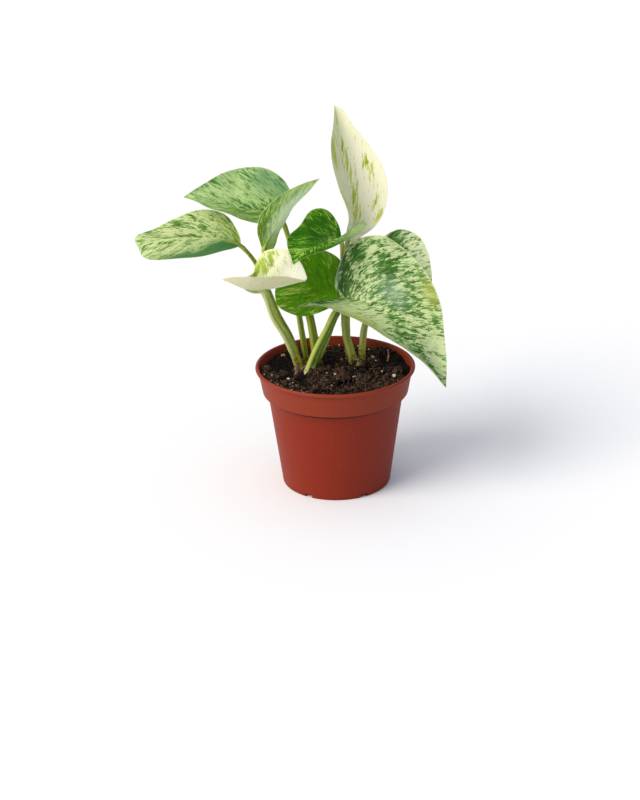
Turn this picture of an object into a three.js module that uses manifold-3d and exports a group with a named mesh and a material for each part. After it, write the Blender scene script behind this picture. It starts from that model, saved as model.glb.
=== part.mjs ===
import * as THREE from 'three';
import { mergeVertices } from 'three/addons/utils/BufferGeometryUtils.js';
import Module from 'manifold-3d';

// A marble queen pothos in a small nursery pot. Millimetres, +Z up, the best side faces -Y.
// The origin is the centre of the pot's flat underside.

// Driving dimensions

const POT_HEIGHT = 50;
const RIM_RADIUS = 32;
const BEAD_RADIUS = 0.75;
const COLLAR_TOP_RADIUS = 30.8;
const COLLAR_FOOT_RADIUS = 29.3;
const COLLAR_FOOT_Z = 39.8;
const BODY_TOP_RADIUS = 26.7;
const BODY_TOP_Z = 35.4;
const FOOT_RADIUS = 22;
const FOOT_CHAMFER = 0.4;
const LEDGE_FILLET = 2;
const COLLAR_NECK_HEIGHT = 2;
const POT_WALL = 1;
const POT_FLOOR = 1.2;
const DRAIN_SLOTS = 6;
const DRAIN_SLOT_WIDTH = 3.2;
const DRAIN_SLOT_HEIGHT = 1.4;
const DRAIN_SLOT_INNER_RADIUS = 15.5;
const FIRST_SLOT_ANGLE = -61;

const SOIL_EDGE_RADIUS = 29;
const SOIL_EDGE_Z = 46.2;
const SOIL_TOP_Z = 47.2;
const SOIL_MOUND_RADIUS = 14;

const GAP = 0.3;
const CUT = GAP + 0.1;
const SOIL_GAP = 0.45;
const LEAF_THICKNESS = 0.8;
const JOINT_RADIUS = 1.7;

// Mesh fineness

const POT_SEGMENTS = 48;
const LEAF_ROWS = 18;
const LEAF_AROUND = 16;
const STALK_STEPS = 10;
const STALK_SIDES = 8;

// Powers in a leaf's formulas: how far along the rib a lateral vein starts for its place along
// the margin, how the bulge fades towards base and tip, and how the thickness fades there and at
// the margin
const VEIN_SWEEP = 1.5;
const BULGE_FADE = 0.6;
const END_FADE = 0.3;
const MARGIN_FADE = 8;

const wasm = await Module();
wasm.setup();

// Colours and finishes

const finish = (color, roughness) =>
  new THREE.MeshStandardMaterial({ color, roughness, metalness: 0 });

const finishes = {
  terracotta: finish('#b4583c', 0.55),
  peat: finish('#2a1d18', 1),
  bark: finish('#8a8a4c', 0.8),
  paper: finish('#9a7b68', 0.9),
  perlite: finish('#d8cfc2', 0.9),
  chip: finish('#a9805a', 0.9),
  stalkGreen: finish('#9fb04a', 0.45),
  stalkPale: finish('#c3cc7e', 0.45),
  stalkDark: finish('#7c8a35', 0.5),
  flecked: finish('#9fbf7a', 0.4),
  streaked: finish('#8db884', 0.4),
  cream: finish('#e6e2bd', 0.45),
  darkGreen: finish('#3f7a1c', 0.4),
};

// Leaves. Each has its rib from base to tip, and its two margins from the notch at the base,
// round the lobe, to the tip. left and right are as seen along the rib with the upper face up.
// bulge is how far each half swells above the plane between rib and margin. sweep is the power in
// the formula for where a lateral vein starts, and is VEIN_SWEEP where it isn't given.

const leaves = {
  far_left: {
    finish: finishes.flecked,
    bulge: [0.8, 1],
    rib: [[-36, 3, 99.5], [-42, 2.5, 101.5], [-50, 1.5, 102.5], [-59.5, 0, 103.5],
      [-69, -1, 102.5], [-75, -1, 100.8], [-75.5, 1.5, 98]],
    left: [[-38, 0, 99.3], [-43.5, -4, 99], [-51.5, -8, 98.5], [-62, -9.5, 98],
      [-70.5, -8, 97.5], [-73.5, -5, 97.5]],
    right: [[-36.5, 6, 101.5], [-38.5, 9, 105], [-42, 11.5, 109], [-47.5, 12, 111],
      [-54, 11.5, 111], [-62, 10, 108.5], [-70, 7.5, 105], [-78, 4.5, 102.5]],
  },
  upper_left: {
    finish: finishes.streaked,
    bulge: [1, 1.5],
    rib: [[-20, 14, 106.5], [-26.5, 13, 109.5], [-36, 11, 111.5], [-45, 9, 115],
      [-52, 8, 117], [-58, 8, 117.5]],
    left: [[-20.5, 11, 105], [-24.5, 7, 105.5], [-29.5, 3.5, 108], [-36, 1, 110.5],
      [-42, 2, 113], [-48.5, 4, 114.5], [-53.5, 6, 116.5]],
    right: [[-18, 16, 108], [-16, 18, 113], [-18.5, 19.5, 119.5], [-22, 20, 123],
      [-27, 20, 125.5], [-32.5, 19.5, 126], [-38, 18.5, 125.5], [-43.5, 16, 124.5],
      [-49, 13.5, 122], [-53.5, 10.5, 120]],
  },
  folded: {
    finish: finishes.flecked,
    bulge: [0.8, 0.2],
    rib: [[-27.5, 4.5, 96.1], [-26, 4.2, 99.4], [-24.2, 4, 102.5], [-20.3, 4.3, 108.5],
      [-16.1, 6, 113.7], [-9.2, 7.3, 120.2], [-4.9, 7, 124.5]],
    left: [[-28.5, 3.5, 99.5], [-29.5, 0, 105.5], [-28.5, -2.5, 111], [-26.5, -3, 115],
      [-21.5, -1, 119.5], [-16.5, 2, 121.5], [-10.5, 5, 123.5]],
    right: [[-25.2, 5.6, 96], [-23.6, 6.6, 96.6], [-22.5, 7.2, 98.4], [-21.8, 7.2, 101.1],
      [-20.8, 7.2, 103.7], [-19.1, 7.6, 106.6], [-17.4, 8.4, 109.4], [-15.6, 9.2, 112.1],
      [-12.9, 10, 115], [-9.5, 9.8, 118.6], [-6.7, 8.6, 122]],
  },
  cream_cup: {
    finish: finishes.cream,
    bulge: [0, 0],
    sweep: 2.5,
    rib: [[-28, -4, 83], [-32, -8, 84.5], [-36, -12, 87.5], [-40, -15, 90.5], [-43, -16, 92]],
    left: [[-25.2, -5.2, 83.2], [-19.5, -6.8, 84.4], [-14, -7.8, 85.8], [-10.8, -8.2, 87.2],
      [-14.5, -10.6, 89.3], [-18.5, -13, 91.2], [-24.5, -16, 92.5], [-31.5, -18, 93.5],
      [-38.5, -17.5, 93.3]],
    right: [[-25, -3, 83.2], [-19.5, -1.6, 84.2], [-14, -1.8, 85.8], [-10.8, -2.4, 87.4],
      [-11.5, -1.2, 90], [-13, 0, 93], [-17.5, 1.5, 97.5], [-23, 2, 98], [-27.5, 1.5, 97],
      [-31, -1, 93.5], [-32.5, -4.5, 91], [-34.8, -8.5, 90.5], [-38.5, -12.5, 91.5]],
  },
  dark_heart: {
    finish: finishes.darkGreen,
    bulge: [0.6, 1.2],
    rib: [[3, 7, 100], [-1.5, 3.5, 100.5], [-6, -1, 100.5], [-12, -6, 99], [-15.5, -9, 95]],
    left: [[5.5, 8.5, 102.5], [9.5, 8.5, 105.5], [12, 7.5, 107], [13, 6, 106], [9, 3, 103],
      [5, 0, 101.5], [0.5, -4, 100.5], [-3, -6.5, 100], [-10.5, -10, 98.5]],
    right: [[3, 8.5, 101.5], [2, 10, 105], [-1, 11, 109.5], [-4.5, 10.5, 111.5], [-9, 8.5, 111],
      [-13, 4.5, 106.5], [-17.5, 1.5, 103], [-18, -2, 100.5], [-16.5, -6, 97.5]],
  },
  tall_cream: {
    finish: finishes.cream,
    bulge: [0.5, 1.2],
    rib: [[5.5, 13, 96.5], [8, 13.5, 105], [7, 14, 111.5], [4.5, 16, 124], [2, 19, 140.5],
      [1, 22, 149.5]],
    left: [[4.5, 12, 97.5], [5, 10, 102], [6, 6, 109], [5, 3, 115], [2.5, 2, 121.5],
      [0, 5, 129.5], [-0.5, 9, 136], [0.5, 17, 144]],
    right: [[8, 13, 96.5], [11, 12.5, 99], [15.5, 12, 102.5], [19, 12, 107], [21, 12.5, 113],
      [21.5, 13, 119], [20, 14, 125.5], [17, 15.5, 131], [12.5, 18, 137], [7.5, 20, 143],
      [4, 21.5, 148]],
  },
  dark_rear: {
    finish: finishes.darkGreen,
    bulge: [1, 1],
    rib: [[2, 6, 76], [-4, 7.5, 78.5], [-10.5, 8, 81.5], [-16.5, 8.5, 84], [-22, 8, 85]],
    left: [[0.6, 4.8, 73.5], [-4, 4.8, 71], [-9, 5.5, 69], [-13.5, 5.5, 68.5], [-18, 5.2, 70],
      [-22.3, 5, 73], [-23.5, 6, 77.5], [-23, 7.5, 81.5]],
    right: [[2.5, 7.5, 80], [3.5, 8.5, 85.5], [2.5, 9.5, 90.5], [-3, 10.5, 94], [-9, 10.5, 94.5],
      [-15, 10, 92.5], [-19.5, 9, 89]],
  },
  big_right: {
    finish: finishes.flecked,
    bulge: [2, 1.5],
    rib: [[3.5, 2, 78], [12.5, -5, 77.5], [23, -16, 73.5], [33, -27, 66.5], [42, -34, 53.5]],
    left: [[1, 4, 86.5], [3, 5, 92.5], [7, 5.5, 99], [12.5, 5, 101.5], [20, 3, 102],
      [29.5, 1, 95.5], [37, -5, 87.5], [41, -12, 79], [42, -20, 69.5], [42.5, -28, 61.5]],
    right: [[0, 1, 77], [-6.5, 0, 77], [-14.5, -3, 76], [-7, -10, 79], [3.5, -20, 78.5],
      [12, -27, 77], [20, -33, 73.5], [28, -36, 69], [36, -37.3, 62.5]],
  },
  right_rear: {
    finish: finishes.flecked,
    bulge: [1, 1],
    rib: [[20.5, 16, 84.5], [26.5, 14, 85.5], [32.5, 12, 82], [38, 10, 74]],
    left: [[17.5, 18, 89.5], [18.5, 19, 95], [23.5, 19, 99], [27.5, 18.5, 100], [34, 17, 97.5],
      [37.5, 15, 91.5], [38.5, 13, 86.5], [39, 11, 80]],
    right: [[18.5, 16, 82], [16, 14, 78.5], [20.5, 11, 74.5], [27, 9.5, 73.5], [33.5, 9, 72]],
  },
};

// Stalks, from the buried foot up to the leaf's base, with the radius at foot and top

const stalks = {
  far_left: {
    finish: finishes.stalkDark,
    radius: [1, 0.8],
    path: [[-13.5, 8.3, 38], [-14.5, 7.5, 48], [-17.5, 7, 59], [-22, 6.5, 68.5], [-26, 6, 79.5],
      [-30.5, 5.5, 90.5], [-33.5, 4.5, 95.5], [-36, 3, 99.3]],
  },
  upper_left: {
    finish: finishes.stalkGreen,
    radius: [2.1, 0.9],
    path: [[-5.5, 8, 38], [-7.5, 9.5, 50], [-9.5, 11, 63.5], [-11, 12, 70.5], [-13.5, 13, 83.5],
      [-17.5, 14, 97.5], [-19.8, 14, 105.2]],
  },
  folded: {
    finish: finishes.stalkGreen,
    radius: [1.3, 1],
    path: [[-9.8, 9.5, 38], [-11.5, 9, 48], [-12.5, 9.5, 54.5], [-13.5, 10.5, 61],
      [-14.5, 11.5, 67.5], [-17, 12, 75.5], [-21.5, 11, 86], [-25.6, 8.4, 91.6],
      [-27.8, 5.2, 95.3]],
  },
  cream_cup: {
    finish: finishes.stalkPale,
    radius: [2.1, 1.4],
    path: [[-12.5, 4, 36], [-14.5, 3.5, 47.5], [-16.5, 2, 54.5], [-19.5, 0, 62.5], [-24, -2, 71.5],
      [-27.8, -3.9, 81.8]],
  },
  dark_heart: {
    finish: finishes.stalkGreen,
    radius: [2, 0.8],
    path: [[7.5, 7, 36], [7.2, 8, 48], [6, 9, 53], [4.5, 10, 58.5], [4, 11, 66.5], [4, 12.5, 80],
      [3.5, 11.5, 91], [3, 7.2, 99.6]],
  },
  tall_cream: {
    finish: finishes.stalkPale,
    radius: [1.4, 0.9],
    path: [[6, 12, 38], [5.5, 13.5, 48], [5, 15, 57], [5, 16, 65], [5, 16, 80], [5.5, 13, 96]],
  },
  dark_rear: {
    finish: finishes.stalkDark,
    radius: [1.8, 1.3],
    path: [[-8.5, 2.5, 37], [-8.8, 4, 47], [-5.5, 5.5, 54], [-2, 7, 62.5], [0.3, 8, 68.5],
      [1.8, 7.6, 74.4]],
  },
  big_right: {
    finish: finishes.stalkGreen,
    radius: [2.1, 1.5],
    path: [[-13.5, -1.5, 40], [-11, -1, 46], [-7, 0, 56], [-2.5, 1, 65], [0.5, 1.5, 71],
      [2.9, 1.9, 75.6]],
  },
  right_rear: {
    finish: finishes.stalkPale,
    radius: [1.6, 1],
    path: [[10.5, 10, 42], [10.8, 10.8, 49], [11.2, 11.8, 54], [12, 14, 60], [16, 17.5, 72],
      [19.3, 18.5, 80], [20.6, 17.4, 84]],
  },
};

// Scabbed crowns that carry the stalks: centre, and half sizes along X, Y and Z

const crowns = {
  crown_left: { centre: [-12.6, 5.6, 45.5], half: [4.6, 5, 4.6] },
  crown_right: { centre: [8.6, 9.6, 45], half: [4.2, 4.6, 5] },
};

// Loose bits lying on the soil: place, mean radius and finish

const grains = [
  { name: 'perlite_1', at: [-18.6, -8.6], radius: 0.8, finish: finishes.perlite },
  { name: 'perlite_2', at: [-25.2, -3.9], radius: 0.6, finish: finishes.perlite },
  { name: 'perlite_3', at: [23.3, -7], radius: 1.2, finish: finishes.perlite },
  { name: 'perlite_4', at: [11.4, 20], radius: 0.7, finish: finishes.perlite },
  { name: 'perlite_5', at: [13.9, 21.4], radius: 0.7, finish: finishes.perlite },
  { name: 'perlite_6', at: [15.3, 13.8], radius: 0.8, finish: finishes.perlite },
  { name: 'perlite_7', at: [0, -5.1], radius: 0.7, finish: finishes.perlite },
  { name: 'perlite_8', at: [-3.4, -3.6], radius: 0.6, finish: finishes.perlite },
  { name: 'bark_chip', at: [-21.2, 14.9], radius: 1.1, finish: finishes.chip },
];
const TWIG = { foot: [21.2, 10.6, 46], top: [21.7, 11.4, 50.6], radius: 0.45 };
const SHEATH = { foot: [-15.6, -0.9, 45.5], top: [-15.1, -0.6, 50.6], radius: [1.2, 0.5] };

// Solids

// Merges a geometry's shared vertices and turns it into a solid whose faces point outwards
function solid(geometry) {
  geometry.deleteAttribute('normal');
  geometry.deleteAttribute('uv');
  const merged = mergeVertices(geometry, 1e-4);
  const vertices = merged.attributes.position.array;
  const index = merged.index.array;
  const triangles = [];
  let volume = 0;
  const [a, b, c] = [new THREE.Vector3(), new THREE.Vector3(), new THREE.Vector3()];
  for (let i = 0; i < index.length; i += 3) {
    const [p, q, r] = [index[i], index[i + 1], index[i + 2]];
    if (p === q || q === r || r === p) continue;
    triangles.push(p, q, r);
    a.fromArray(vertices, 3 * p);
    b.fromArray(vertices, 3 * q);
    c.fromArray(vertices, 3 * r);
    volume += a.dot(b.cross(c)) / 6;
  }
  if (volume < 0) triangles.reverse();
  return new wasm.Manifold(new wasm.Mesh({
    numProp: 3,
    vertProperties: new Float32Array(vertices),
    triVerts: new Uint32Array(triangles),
  }));
}

// The biggest separate body of a solid, which drops slivers that a cut leaves behind
function biggest(shape) {
  return shape.decompose().reduce((best, body) => (body.volume() > best.volume() ? body : best));
}

function meshOf(name, shape, material) {
  const { vertProperties, triVerts } = shape.getMesh();
  const geometry = new THREE.BufferGeometry();
  geometry.setAttribute('position', new THREE.BufferAttribute(vertProperties, 3));
  geometry.setIndex(new THREE.BufferAttribute(triVerts, 1));
  geometry.computeVertexNormals();
  const mesh = new THREE.Mesh(geometry, material);
  mesh.name = name;
  return mesh;
}

const vector = (point) => new THREE.Vector3(...point);
const smoothCurve = (points) => new THREE.CatmullRomCurve3(points.map(vector), false, 'centripetal');

// One half of a leaf: the point at a share along the margin and a share across from rib to margin,
// with the margin pushed out by grow
function leafHalf(leaf, side) {
  const rib = smoothCurve(leaf.rib);
  const margin = smoothCurve([leaf.rib[0], ...leaf[side], leaf.rib.at(-1)]);
  const swell = leaf.bulge[side === 'left' ? 0 : 1] * 4;
  const upward = side === 'left' ? -1 : 1;
  return (along, across, grow) => {
    const start = along ** (leaf.sweep ?? VEIN_SWEEP);
    const from = rib.getPointAt(start);
    const to = margin.getPointAt(along);
    const vein = to.clone().sub(from);
    const normal = rib.getTangentAt(start).cross(vein).multiplyScalar(upward);
    if (normal.length() > 0) normal.normalize();
    const height = swell * across * (1 - across) * Math.sin(Math.PI * along) ** BULGE_FADE;
    const reach = across * (1 + grow / Math.max(vein.length(), 1));
    return from.addScaledVector(vein, reach).addScaledVector(normal, height);
  };
}

// A leaf's solid: a sphere's grid with its poles at base and tip, flattened onto the leaf.
// The first half turn runs over the upper face, from margin to margin, and the rest under it.
// grow makes it bigger all round.
function leafSolid(leaf, grow = 0) {
  const halves = [leafHalf(leaf, 'left'), leafHalf(leaf, 'right')];
  const surface = (along, across) => halves[across < 0 ? 0 : 1](along, Math.abs(across), grow);
  const thickness = LEAF_THICKNESS + 2 * grow;
  const step = 1e-3;
  const geometry = new THREE.SphereGeometry(1, LEAF_AROUND, LEAF_ROWS);
  const { position, uv } = geometry.attributes;
  for (let i = 0; i < position.count; i += 1) {
    const along = THREE.MathUtils.clamp(1 - uv.getY(i), 0, 1);
    const turn = THREE.MathUtils.euclideanModulo(uv.getX(i), 1);
    const across = THREE.MathUtils.clamp(1 - Math.abs(4 * turn - 2), -1, 1);
    const face = turn < 0.5 ? 1 : -1;
    position.setXYZ(i, along, across, face);
  }
  for (let i = 0; i < position.count; i += 1) {
    const [along, across, face] = [position.getX(i), position.getY(i), position.getZ(i)];
    const point = surface(along, across);
    if (along > step && along < 1 - step) {
      const inner = across * 0.98;
      const forward = surface(along + step, inner).sub(surface(along - step, inner));
      const sideways = surface(along, inner + step).sub(surface(along, inner - step));
      const normal = sideways.cross(forward).normalize();
      const edge = Math.sqrt(Math.max(0, 1 - Math.abs(across) ** MARGIN_FADE));
      const taper = Math.sin(Math.PI * along) ** END_FADE;
      point.addScaledVector(normal, face * edge * taper * thickness / 2);
    }
    position.setXYZ(i, point.x, point.y, point.z);
  }
  return solid(geometry);
}

// A point moved away from its neighbour by a distance
function pushedOut(end, neighbour, distance) {
  const away = vector(end).sub(vector(neighbour)).setLength(distance);
  return vector(end).add(away).toArray();
}

// A round tapered rod: a lathed body of unit height, bent along a curve, grown all round by extra
function rodSolid(points, [footRadius, topRadius], extra = 0, sides = STALK_SIDES) {
  const foot = pushedOut(points[0], points[1], extra);
  const top = pushedOut(points.at(-1), points.at(-2), extra);
  const curve = smoothCurve([foot, ...points.slice(1, -1), top]);
  const profile = [new THREE.Vector2(0, 0)];
  for (let i = 0; i <= STALK_STEPS; i += 1) {
    const share = i / STALK_STEPS;
    profile.push(new THREE.Vector2(THREE.MathUtils.lerp(footRadius, topRadius, share) + extra, share));
  }
  profile.push(new THREE.Vector2(0, 1));
  const geometry = new THREE.LatheGeometry(profile, sides);
  const frames = curve.computeFrenetFrames(STALK_STEPS, false);
  const position = geometry.attributes.position;
  for (let i = 0; i < position.count; i += 1) {
    const ring = Math.round(position.getY(i) * STALK_STEPS);
    const point = curve.getPointAt(ring / STALK_STEPS)
      .addScaledVector(frames.normals[ring], position.getX(i))
      .addScaledVector(frames.binormals[ring], position.getZ(i));
    position.setXYZ(i, point.x, point.y, point.z);
  }
  return solid(geometry);
}

// A lathed body about the Z axis, from [radius, height] points
function turned(points, segments) {
  const profile = points.map(([radius, height]) => new THREE.Vector2(radius, height));
  return solid(new THREE.LatheGeometry(profile, segments).rotateX(Math.PI / 2));
}

// The inside of the pot's wall, from the floor up to just under the rim
const insideWall = [
  [FOOT_RADIUS - POT_WALL, POT_FLOOR],
  [BODY_TOP_RADIUS - POT_WALL, BODY_TOP_Z + 0.6],
  [COLLAR_FOOT_RADIUS - POT_WALL, COLLAR_FOOT_Z + 0.4],
  [COLLAR_TOP_RADIUS - POT_WALL, POT_HEIGHT - COLLAR_NECK_HEIGHT],
];

// Pot: rolled rim bead, straight collar, ledge, tapered body and a flat floor

function potSolid() {
  const bead = [];
  for (let degrees = -60; degrees <= 150; degrees += 35) {
    const angle = THREE.MathUtils.degToRad(degrees);
    bead.push([
      RIM_RADIUS - BEAD_RADIUS + BEAD_RADIUS * Math.cos(angle),
      POT_HEIGHT - BEAD_RADIUS + BEAD_RADIUS * Math.sin(angle),
    ]);
  }
  const wall = turned([
    [0, 0],
    [FOOT_RADIUS - FOOT_CHAMFER, 0],
    [FOOT_RADIUS, FOOT_CHAMFER],
    [BODY_TOP_RADIUS, BODY_TOP_Z],
    [BODY_TOP_RADIUS + LEDGE_FILLET / 4, BODY_TOP_Z + LEDGE_FILLET],
    [COLLAR_FOOT_RADIUS - 0.7, COLLAR_FOOT_Z - 0.8],
    [COLLAR_FOOT_RADIUS, COLLAR_FOOT_Z],
    [COLLAR_TOP_RADIUS, POT_HEIGHT - COLLAR_NECK_HEIGHT],
    ...bead,
    ...insideWall.toReversed(),
    [0, POT_FLOOR],
  ], POT_SEGMENTS);
  const slotLength = FOOT_RADIUS + 2 - DRAIN_SLOT_INNER_RADIUS;
  let pot = wall;
  for (let i = 0; i < DRAIN_SLOTS; i += 1) {
    const slot = new THREE.BoxGeometry(slotLength, DRAIN_SLOT_WIDTH, 2 * DRAIN_SLOT_HEIGHT)
      .translate(DRAIN_SLOT_INNER_RADIUS + slotLength / 2, 0, 0)
      .rotateZ(THREE.MathUtils.degToRad(FIRST_SLOT_ANGLE + i * 360 / DRAIN_SLOTS));
    pot = pot.subtract(solid(slot));
  }
  return pot;
}

// Soil: the root ball, which follows the pot's inside with a small gap

function soilSolid() {
  const [foot, bodyTop, collarFoot] = insideWall;
  return turned([
    [0, POT_FLOOR + SOIL_GAP],
    [foot[0] - SOIL_GAP, POT_FLOOR + SOIL_GAP],
    [bodyTop[0] - SOIL_GAP, bodyTop[1]],
    [collarFoot[0] - SOIL_GAP, collarFoot[1]],
    [SOIL_EDGE_RADIUS, SOIL_EDGE_Z],
    [SOIL_MOUND_RADIUS, SOIL_TOP_Z],
    [0, SOIL_TOP_Z],
  ], POT_SEGMENTS);
}

// Height of the soil's top at a distance from the pot's axis
function soilHeight(radius) {
  const share = (radius - SOIL_MOUND_RADIUS) / (SOIL_EDGE_RADIUS - SOIL_MOUND_RADIUS);
  return THREE.MathUtils.lerp(SOIL_TOP_Z, SOIL_EDGE_Z, THREE.MathUtils.clamp(share, 0, 1));
}

function crownSolid({ centre, half }, grow = 0) {
  const geometry = new THREE.SphereGeometry(1, 14, 10).rotateX(Math.PI / 2)
    .scale(half[0] + grow, half[1] + grow, half[2] + grow)
    .translate(...centre);
  return solid(geometry);
}

function grainSolid({ at, radius }) {
  const [x, y] = at;
  const geometry = new THREE.DodecahedronGeometry(radius).scale(1.1, 0.9, 0.8);
  const height = soilHeight(Math.hypot(x, y)) + GAP + radius * 0.8;
  return solid(geometry.rotateZ(x + y).translate(x, y, height));
}

// Assembly

const plant = new THREE.Group();
plant.add(meshOf('pot', potSolid(), finishes.terracotta));

const fatLeaves = [];
for (const [name, leaf] of Object.entries(leaves)) {
  plant.add(meshOf(`leaf_${name}`, leafSolid(leaf), leaf.finish));
  fatLeaves.push(leafSolid(leaf, CUT));
}

// Each stalk stops short of the blades, and everything below is cut clear of the stalks
const fatStalks = [];
for (const [name, stalk] of Object.entries(stalks)) {
  const joint = new THREE.SphereGeometry(JOINT_RADIUS, 10, 8).translate(...leaves[name].rib[0]);
  const rod = [...fatLeaves, solid(joint)]
    .reduce((rest, cutter) => rest.subtract(cutter), rodSolid(stalk.path, stalk.radius));
  plant.add(meshOf(`stalk_${name}`, biggest(rod), stalk.finish));
  fatStalks.push(rodSolid(stalk.path, stalk.radius, CUT));
}

const fatCrowns = [];
for (const [name, crown] of Object.entries(crowns)) {
  const body = fatStalks.reduce((rest, stalk) => rest.subtract(stalk), crownSolid(crown));
  plant.add(meshOf(name, biggest(body), finishes.bark));
  fatCrowns.push(crownSolid(crown, CUT));
}

const twigPath = [TWIG.foot, TWIG.top];
const sheathPath = [SHEATH.foot, SHEATH.top];
const cutters = [
  ...fatStalks,
  ...fatCrowns,
  rodSolid(twigPath, [TWIG.radius, TWIG.radius], CUT),
  rodSolid(sheathPath, SHEATH.radius, CUT),
];
const soil = cutters.reduce((rest, cutter) => rest.subtract(cutter), soilSolid());
plant.add(meshOf('soil', biggest(soil), finishes.peat));

plant.add(meshOf('twig', rodSolid(twigPath, [TWIG.radius, TWIG.radius], 0, 6), finishes.chip));
plant.add(meshOf('sheath_scrap', rodSolid(sheathPath, SHEATH.radius, 0, 6), finishes.paper));
for (const grain of grains) plant.add(meshOf(grain.name, grainSolid(grain), grain.finish));

export default plant;
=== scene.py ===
"""A young marble queen pothos in a small nursery pot.

Sizes are in millimetres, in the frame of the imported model: the origin is the centre of the pot's
underside, +Z is up and the front faces -Y. Meshes are written in metres.
"""

from __future__ import annotations

import logging
import math
from collections.abc import Sequence
from dataclasses import dataclass, field
from enum import Enum

import bpy
import numpy as np
from mathutils import Matrix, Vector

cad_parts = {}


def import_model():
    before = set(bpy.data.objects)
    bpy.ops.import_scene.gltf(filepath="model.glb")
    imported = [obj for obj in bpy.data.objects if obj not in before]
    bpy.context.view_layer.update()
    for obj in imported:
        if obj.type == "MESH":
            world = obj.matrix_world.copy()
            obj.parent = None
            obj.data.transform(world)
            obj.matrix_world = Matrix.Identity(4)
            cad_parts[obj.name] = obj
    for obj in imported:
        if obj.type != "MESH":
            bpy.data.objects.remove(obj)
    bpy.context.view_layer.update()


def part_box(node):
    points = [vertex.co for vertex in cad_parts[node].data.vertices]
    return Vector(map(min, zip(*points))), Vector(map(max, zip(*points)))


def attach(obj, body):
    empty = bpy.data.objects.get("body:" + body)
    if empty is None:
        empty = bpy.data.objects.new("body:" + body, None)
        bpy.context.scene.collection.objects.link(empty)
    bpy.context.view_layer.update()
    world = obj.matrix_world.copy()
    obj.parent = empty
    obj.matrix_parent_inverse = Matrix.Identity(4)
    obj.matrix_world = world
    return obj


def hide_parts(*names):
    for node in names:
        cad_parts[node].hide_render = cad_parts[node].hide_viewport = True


log = logging.getLogger("pothos")

Array = np.ndarray
Point = tuple[float, float, float]
Colour = tuple[float, float, float, float]
Spot = tuple[float, float, float, float, float]
Socket = bpy.types.NodeSocket
Piece = bpy.types.Object
Material = bpy.types.Material

MM = 0.001
BODY = "root"
UP = np.array([0, 0, 1.0])
SOIL_LEVEL = 47.0
PERLITE = [f"perlite_{number}" for number in range(1, 9)]

# How many places each stretch of a curve has, and how many its length is added up from.
STRETCH_STEPS = 32
LENGTH_STEPS = 60

# The noise lattice's offset, which keeps its corners' numbers positive, and the large odd numbers
# that turn a corner's three numbers and the seed into a random one.
LATTICE_OFFSET = 1000.5
SCRAMBLE = (73856093, 19349663, 83492791, 2654435761, 1274126177)


def colour(code: str) -> Colour:
    """Turns a six-digit colour code into linear light.

    Args:
        code: the colour as a screen shows it, such as "#b4583c".

    Returns:
        Linear red, green and blue, with alpha 1.
    """
    screen = np.array([int(code[i : i + 2], 16) / 255 for i in (1, 3, 5)])
    linear = np.where(screen < 0.04045, screen / 12.92, ((screen + 0.055) / 1.055) ** 2.4)
    return (*linear.tolist(), 1.0)


def smooth(value: Array, low: float, high: float) -> Array:
    """A soft step from 0 at low to 1 at high."""
    share = np.clip((value - low) / (high - low), 0, 1)
    return share * share * (3 - 2 * share)


def unit(vectors: Array) -> Array:
    """Vectors along the last axis, brought to length 1."""
    return vectors / np.maximum(np.linalg.norm(vectors, axis=-1, keepdims=True), 1e-9)


def curve_places(points: Sequence[Point], shares: Array) -> Array:
    """Places on a smooth curve through points.

    The curve is a centripetal Catmull-Rom curve: on each stretch it is the cubic whose end slopes
    come from the neighbouring points, spaced by the square root of their distances.

    Args:
        points: what the curve passes through.
        shares: how far along the curve's length each place is, from 0 to 1.

    Returns:
        One place for each share.
    """
    knots = np.array(points, float)
    knots = np.vstack([2 * knots[0] - knots[1], knots, 2 * knots[-1] - knots[-2]])
    spans = np.sqrt(np.linalg.norm(np.diff(knots, axis=0), axis=1)).clip(1e-4)[:, None]
    before, start, end, after = knots[:-3], knots[1:-2], knots[2:-1], knots[3:]
    gap_before, gap, gap_after = spans[:-2], spans[1:-1], spans[2:]
    leave = (start - before) / gap_before - (end - before) / (gap_before + gap) + (end - start) / gap
    arrive = (end - start) / gap - (after - start) / (gap + gap_after) + (after - end) / gap_after
    t = np.linspace(0, 1, STRETCH_STEPS, endpoint=False)[:, None, None]
    dense = (2 * t**3 - 3 * t**2 + 1) * start + (t**3 - 2 * t**2 + t) * leave * gap
    dense = dense + (3 * t**2 - 2 * t**3) * end + (t**3 - t**2) * arrive * gap
    dense = np.vstack([dense.transpose(1, 0, 2).reshape(-1, 3), knots[-2]])
    length = np.r_[0, np.cumsum(np.linalg.norm(np.diff(dense, axis=0), axis=1))]
    return np.stack([np.interp(shares, length / length[-1], dense[:, k]) for k in range(3)], -1)


def curve_length(points: Sequence[Point]) -> float:
    """The length of the smooth curve through points."""
    places = curve_places(points, np.linspace(0, 1, LENGTH_STEPS))
    return float(np.linalg.norm(np.diff(places, axis=0), axis=1).sum())


def lattice_noise(places: Array, cell: float, seed: int = 0) -> Array:
    """Smooth noise: a random number at each corner of a cubic lattice, blended inside each cell.

    Args:
        places: points along the last axis.
        cell: the lattice's spacing.
        seed: picks another lattice.

    Returns:
        One number from -1 to 1 for each place.
    """
    scaled = places / cell + LATTICE_OFFSET
    corner = np.floor(scaled).astype(np.int64)
    share = scaled - corner
    share = share * share * (3 - 2 * share)
    total = np.zeros(places.shape[:-1])
    for x, y, z in np.ndindex(2, 2, 2):
        key = (corner[..., 0] + x) * SCRAMBLE[0] ^ (corner[..., 1] + y) * SCRAMBLE[1]
        key = key ^ (corner[..., 2] + z) * SCRAMBLE[2] ^ seed * SCRAMBLE[3]
        key = (key ^ (key >> 13)) * SCRAMBLE[4] & 0xFFFFFF
        weight = np.abs(1 - x - share[..., 0]) * np.abs(1 - y - share[..., 1])
        total += (key / 0x7FFFFF - 1) * weight * np.abs(1 - z - share[..., 2])
    return total


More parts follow.
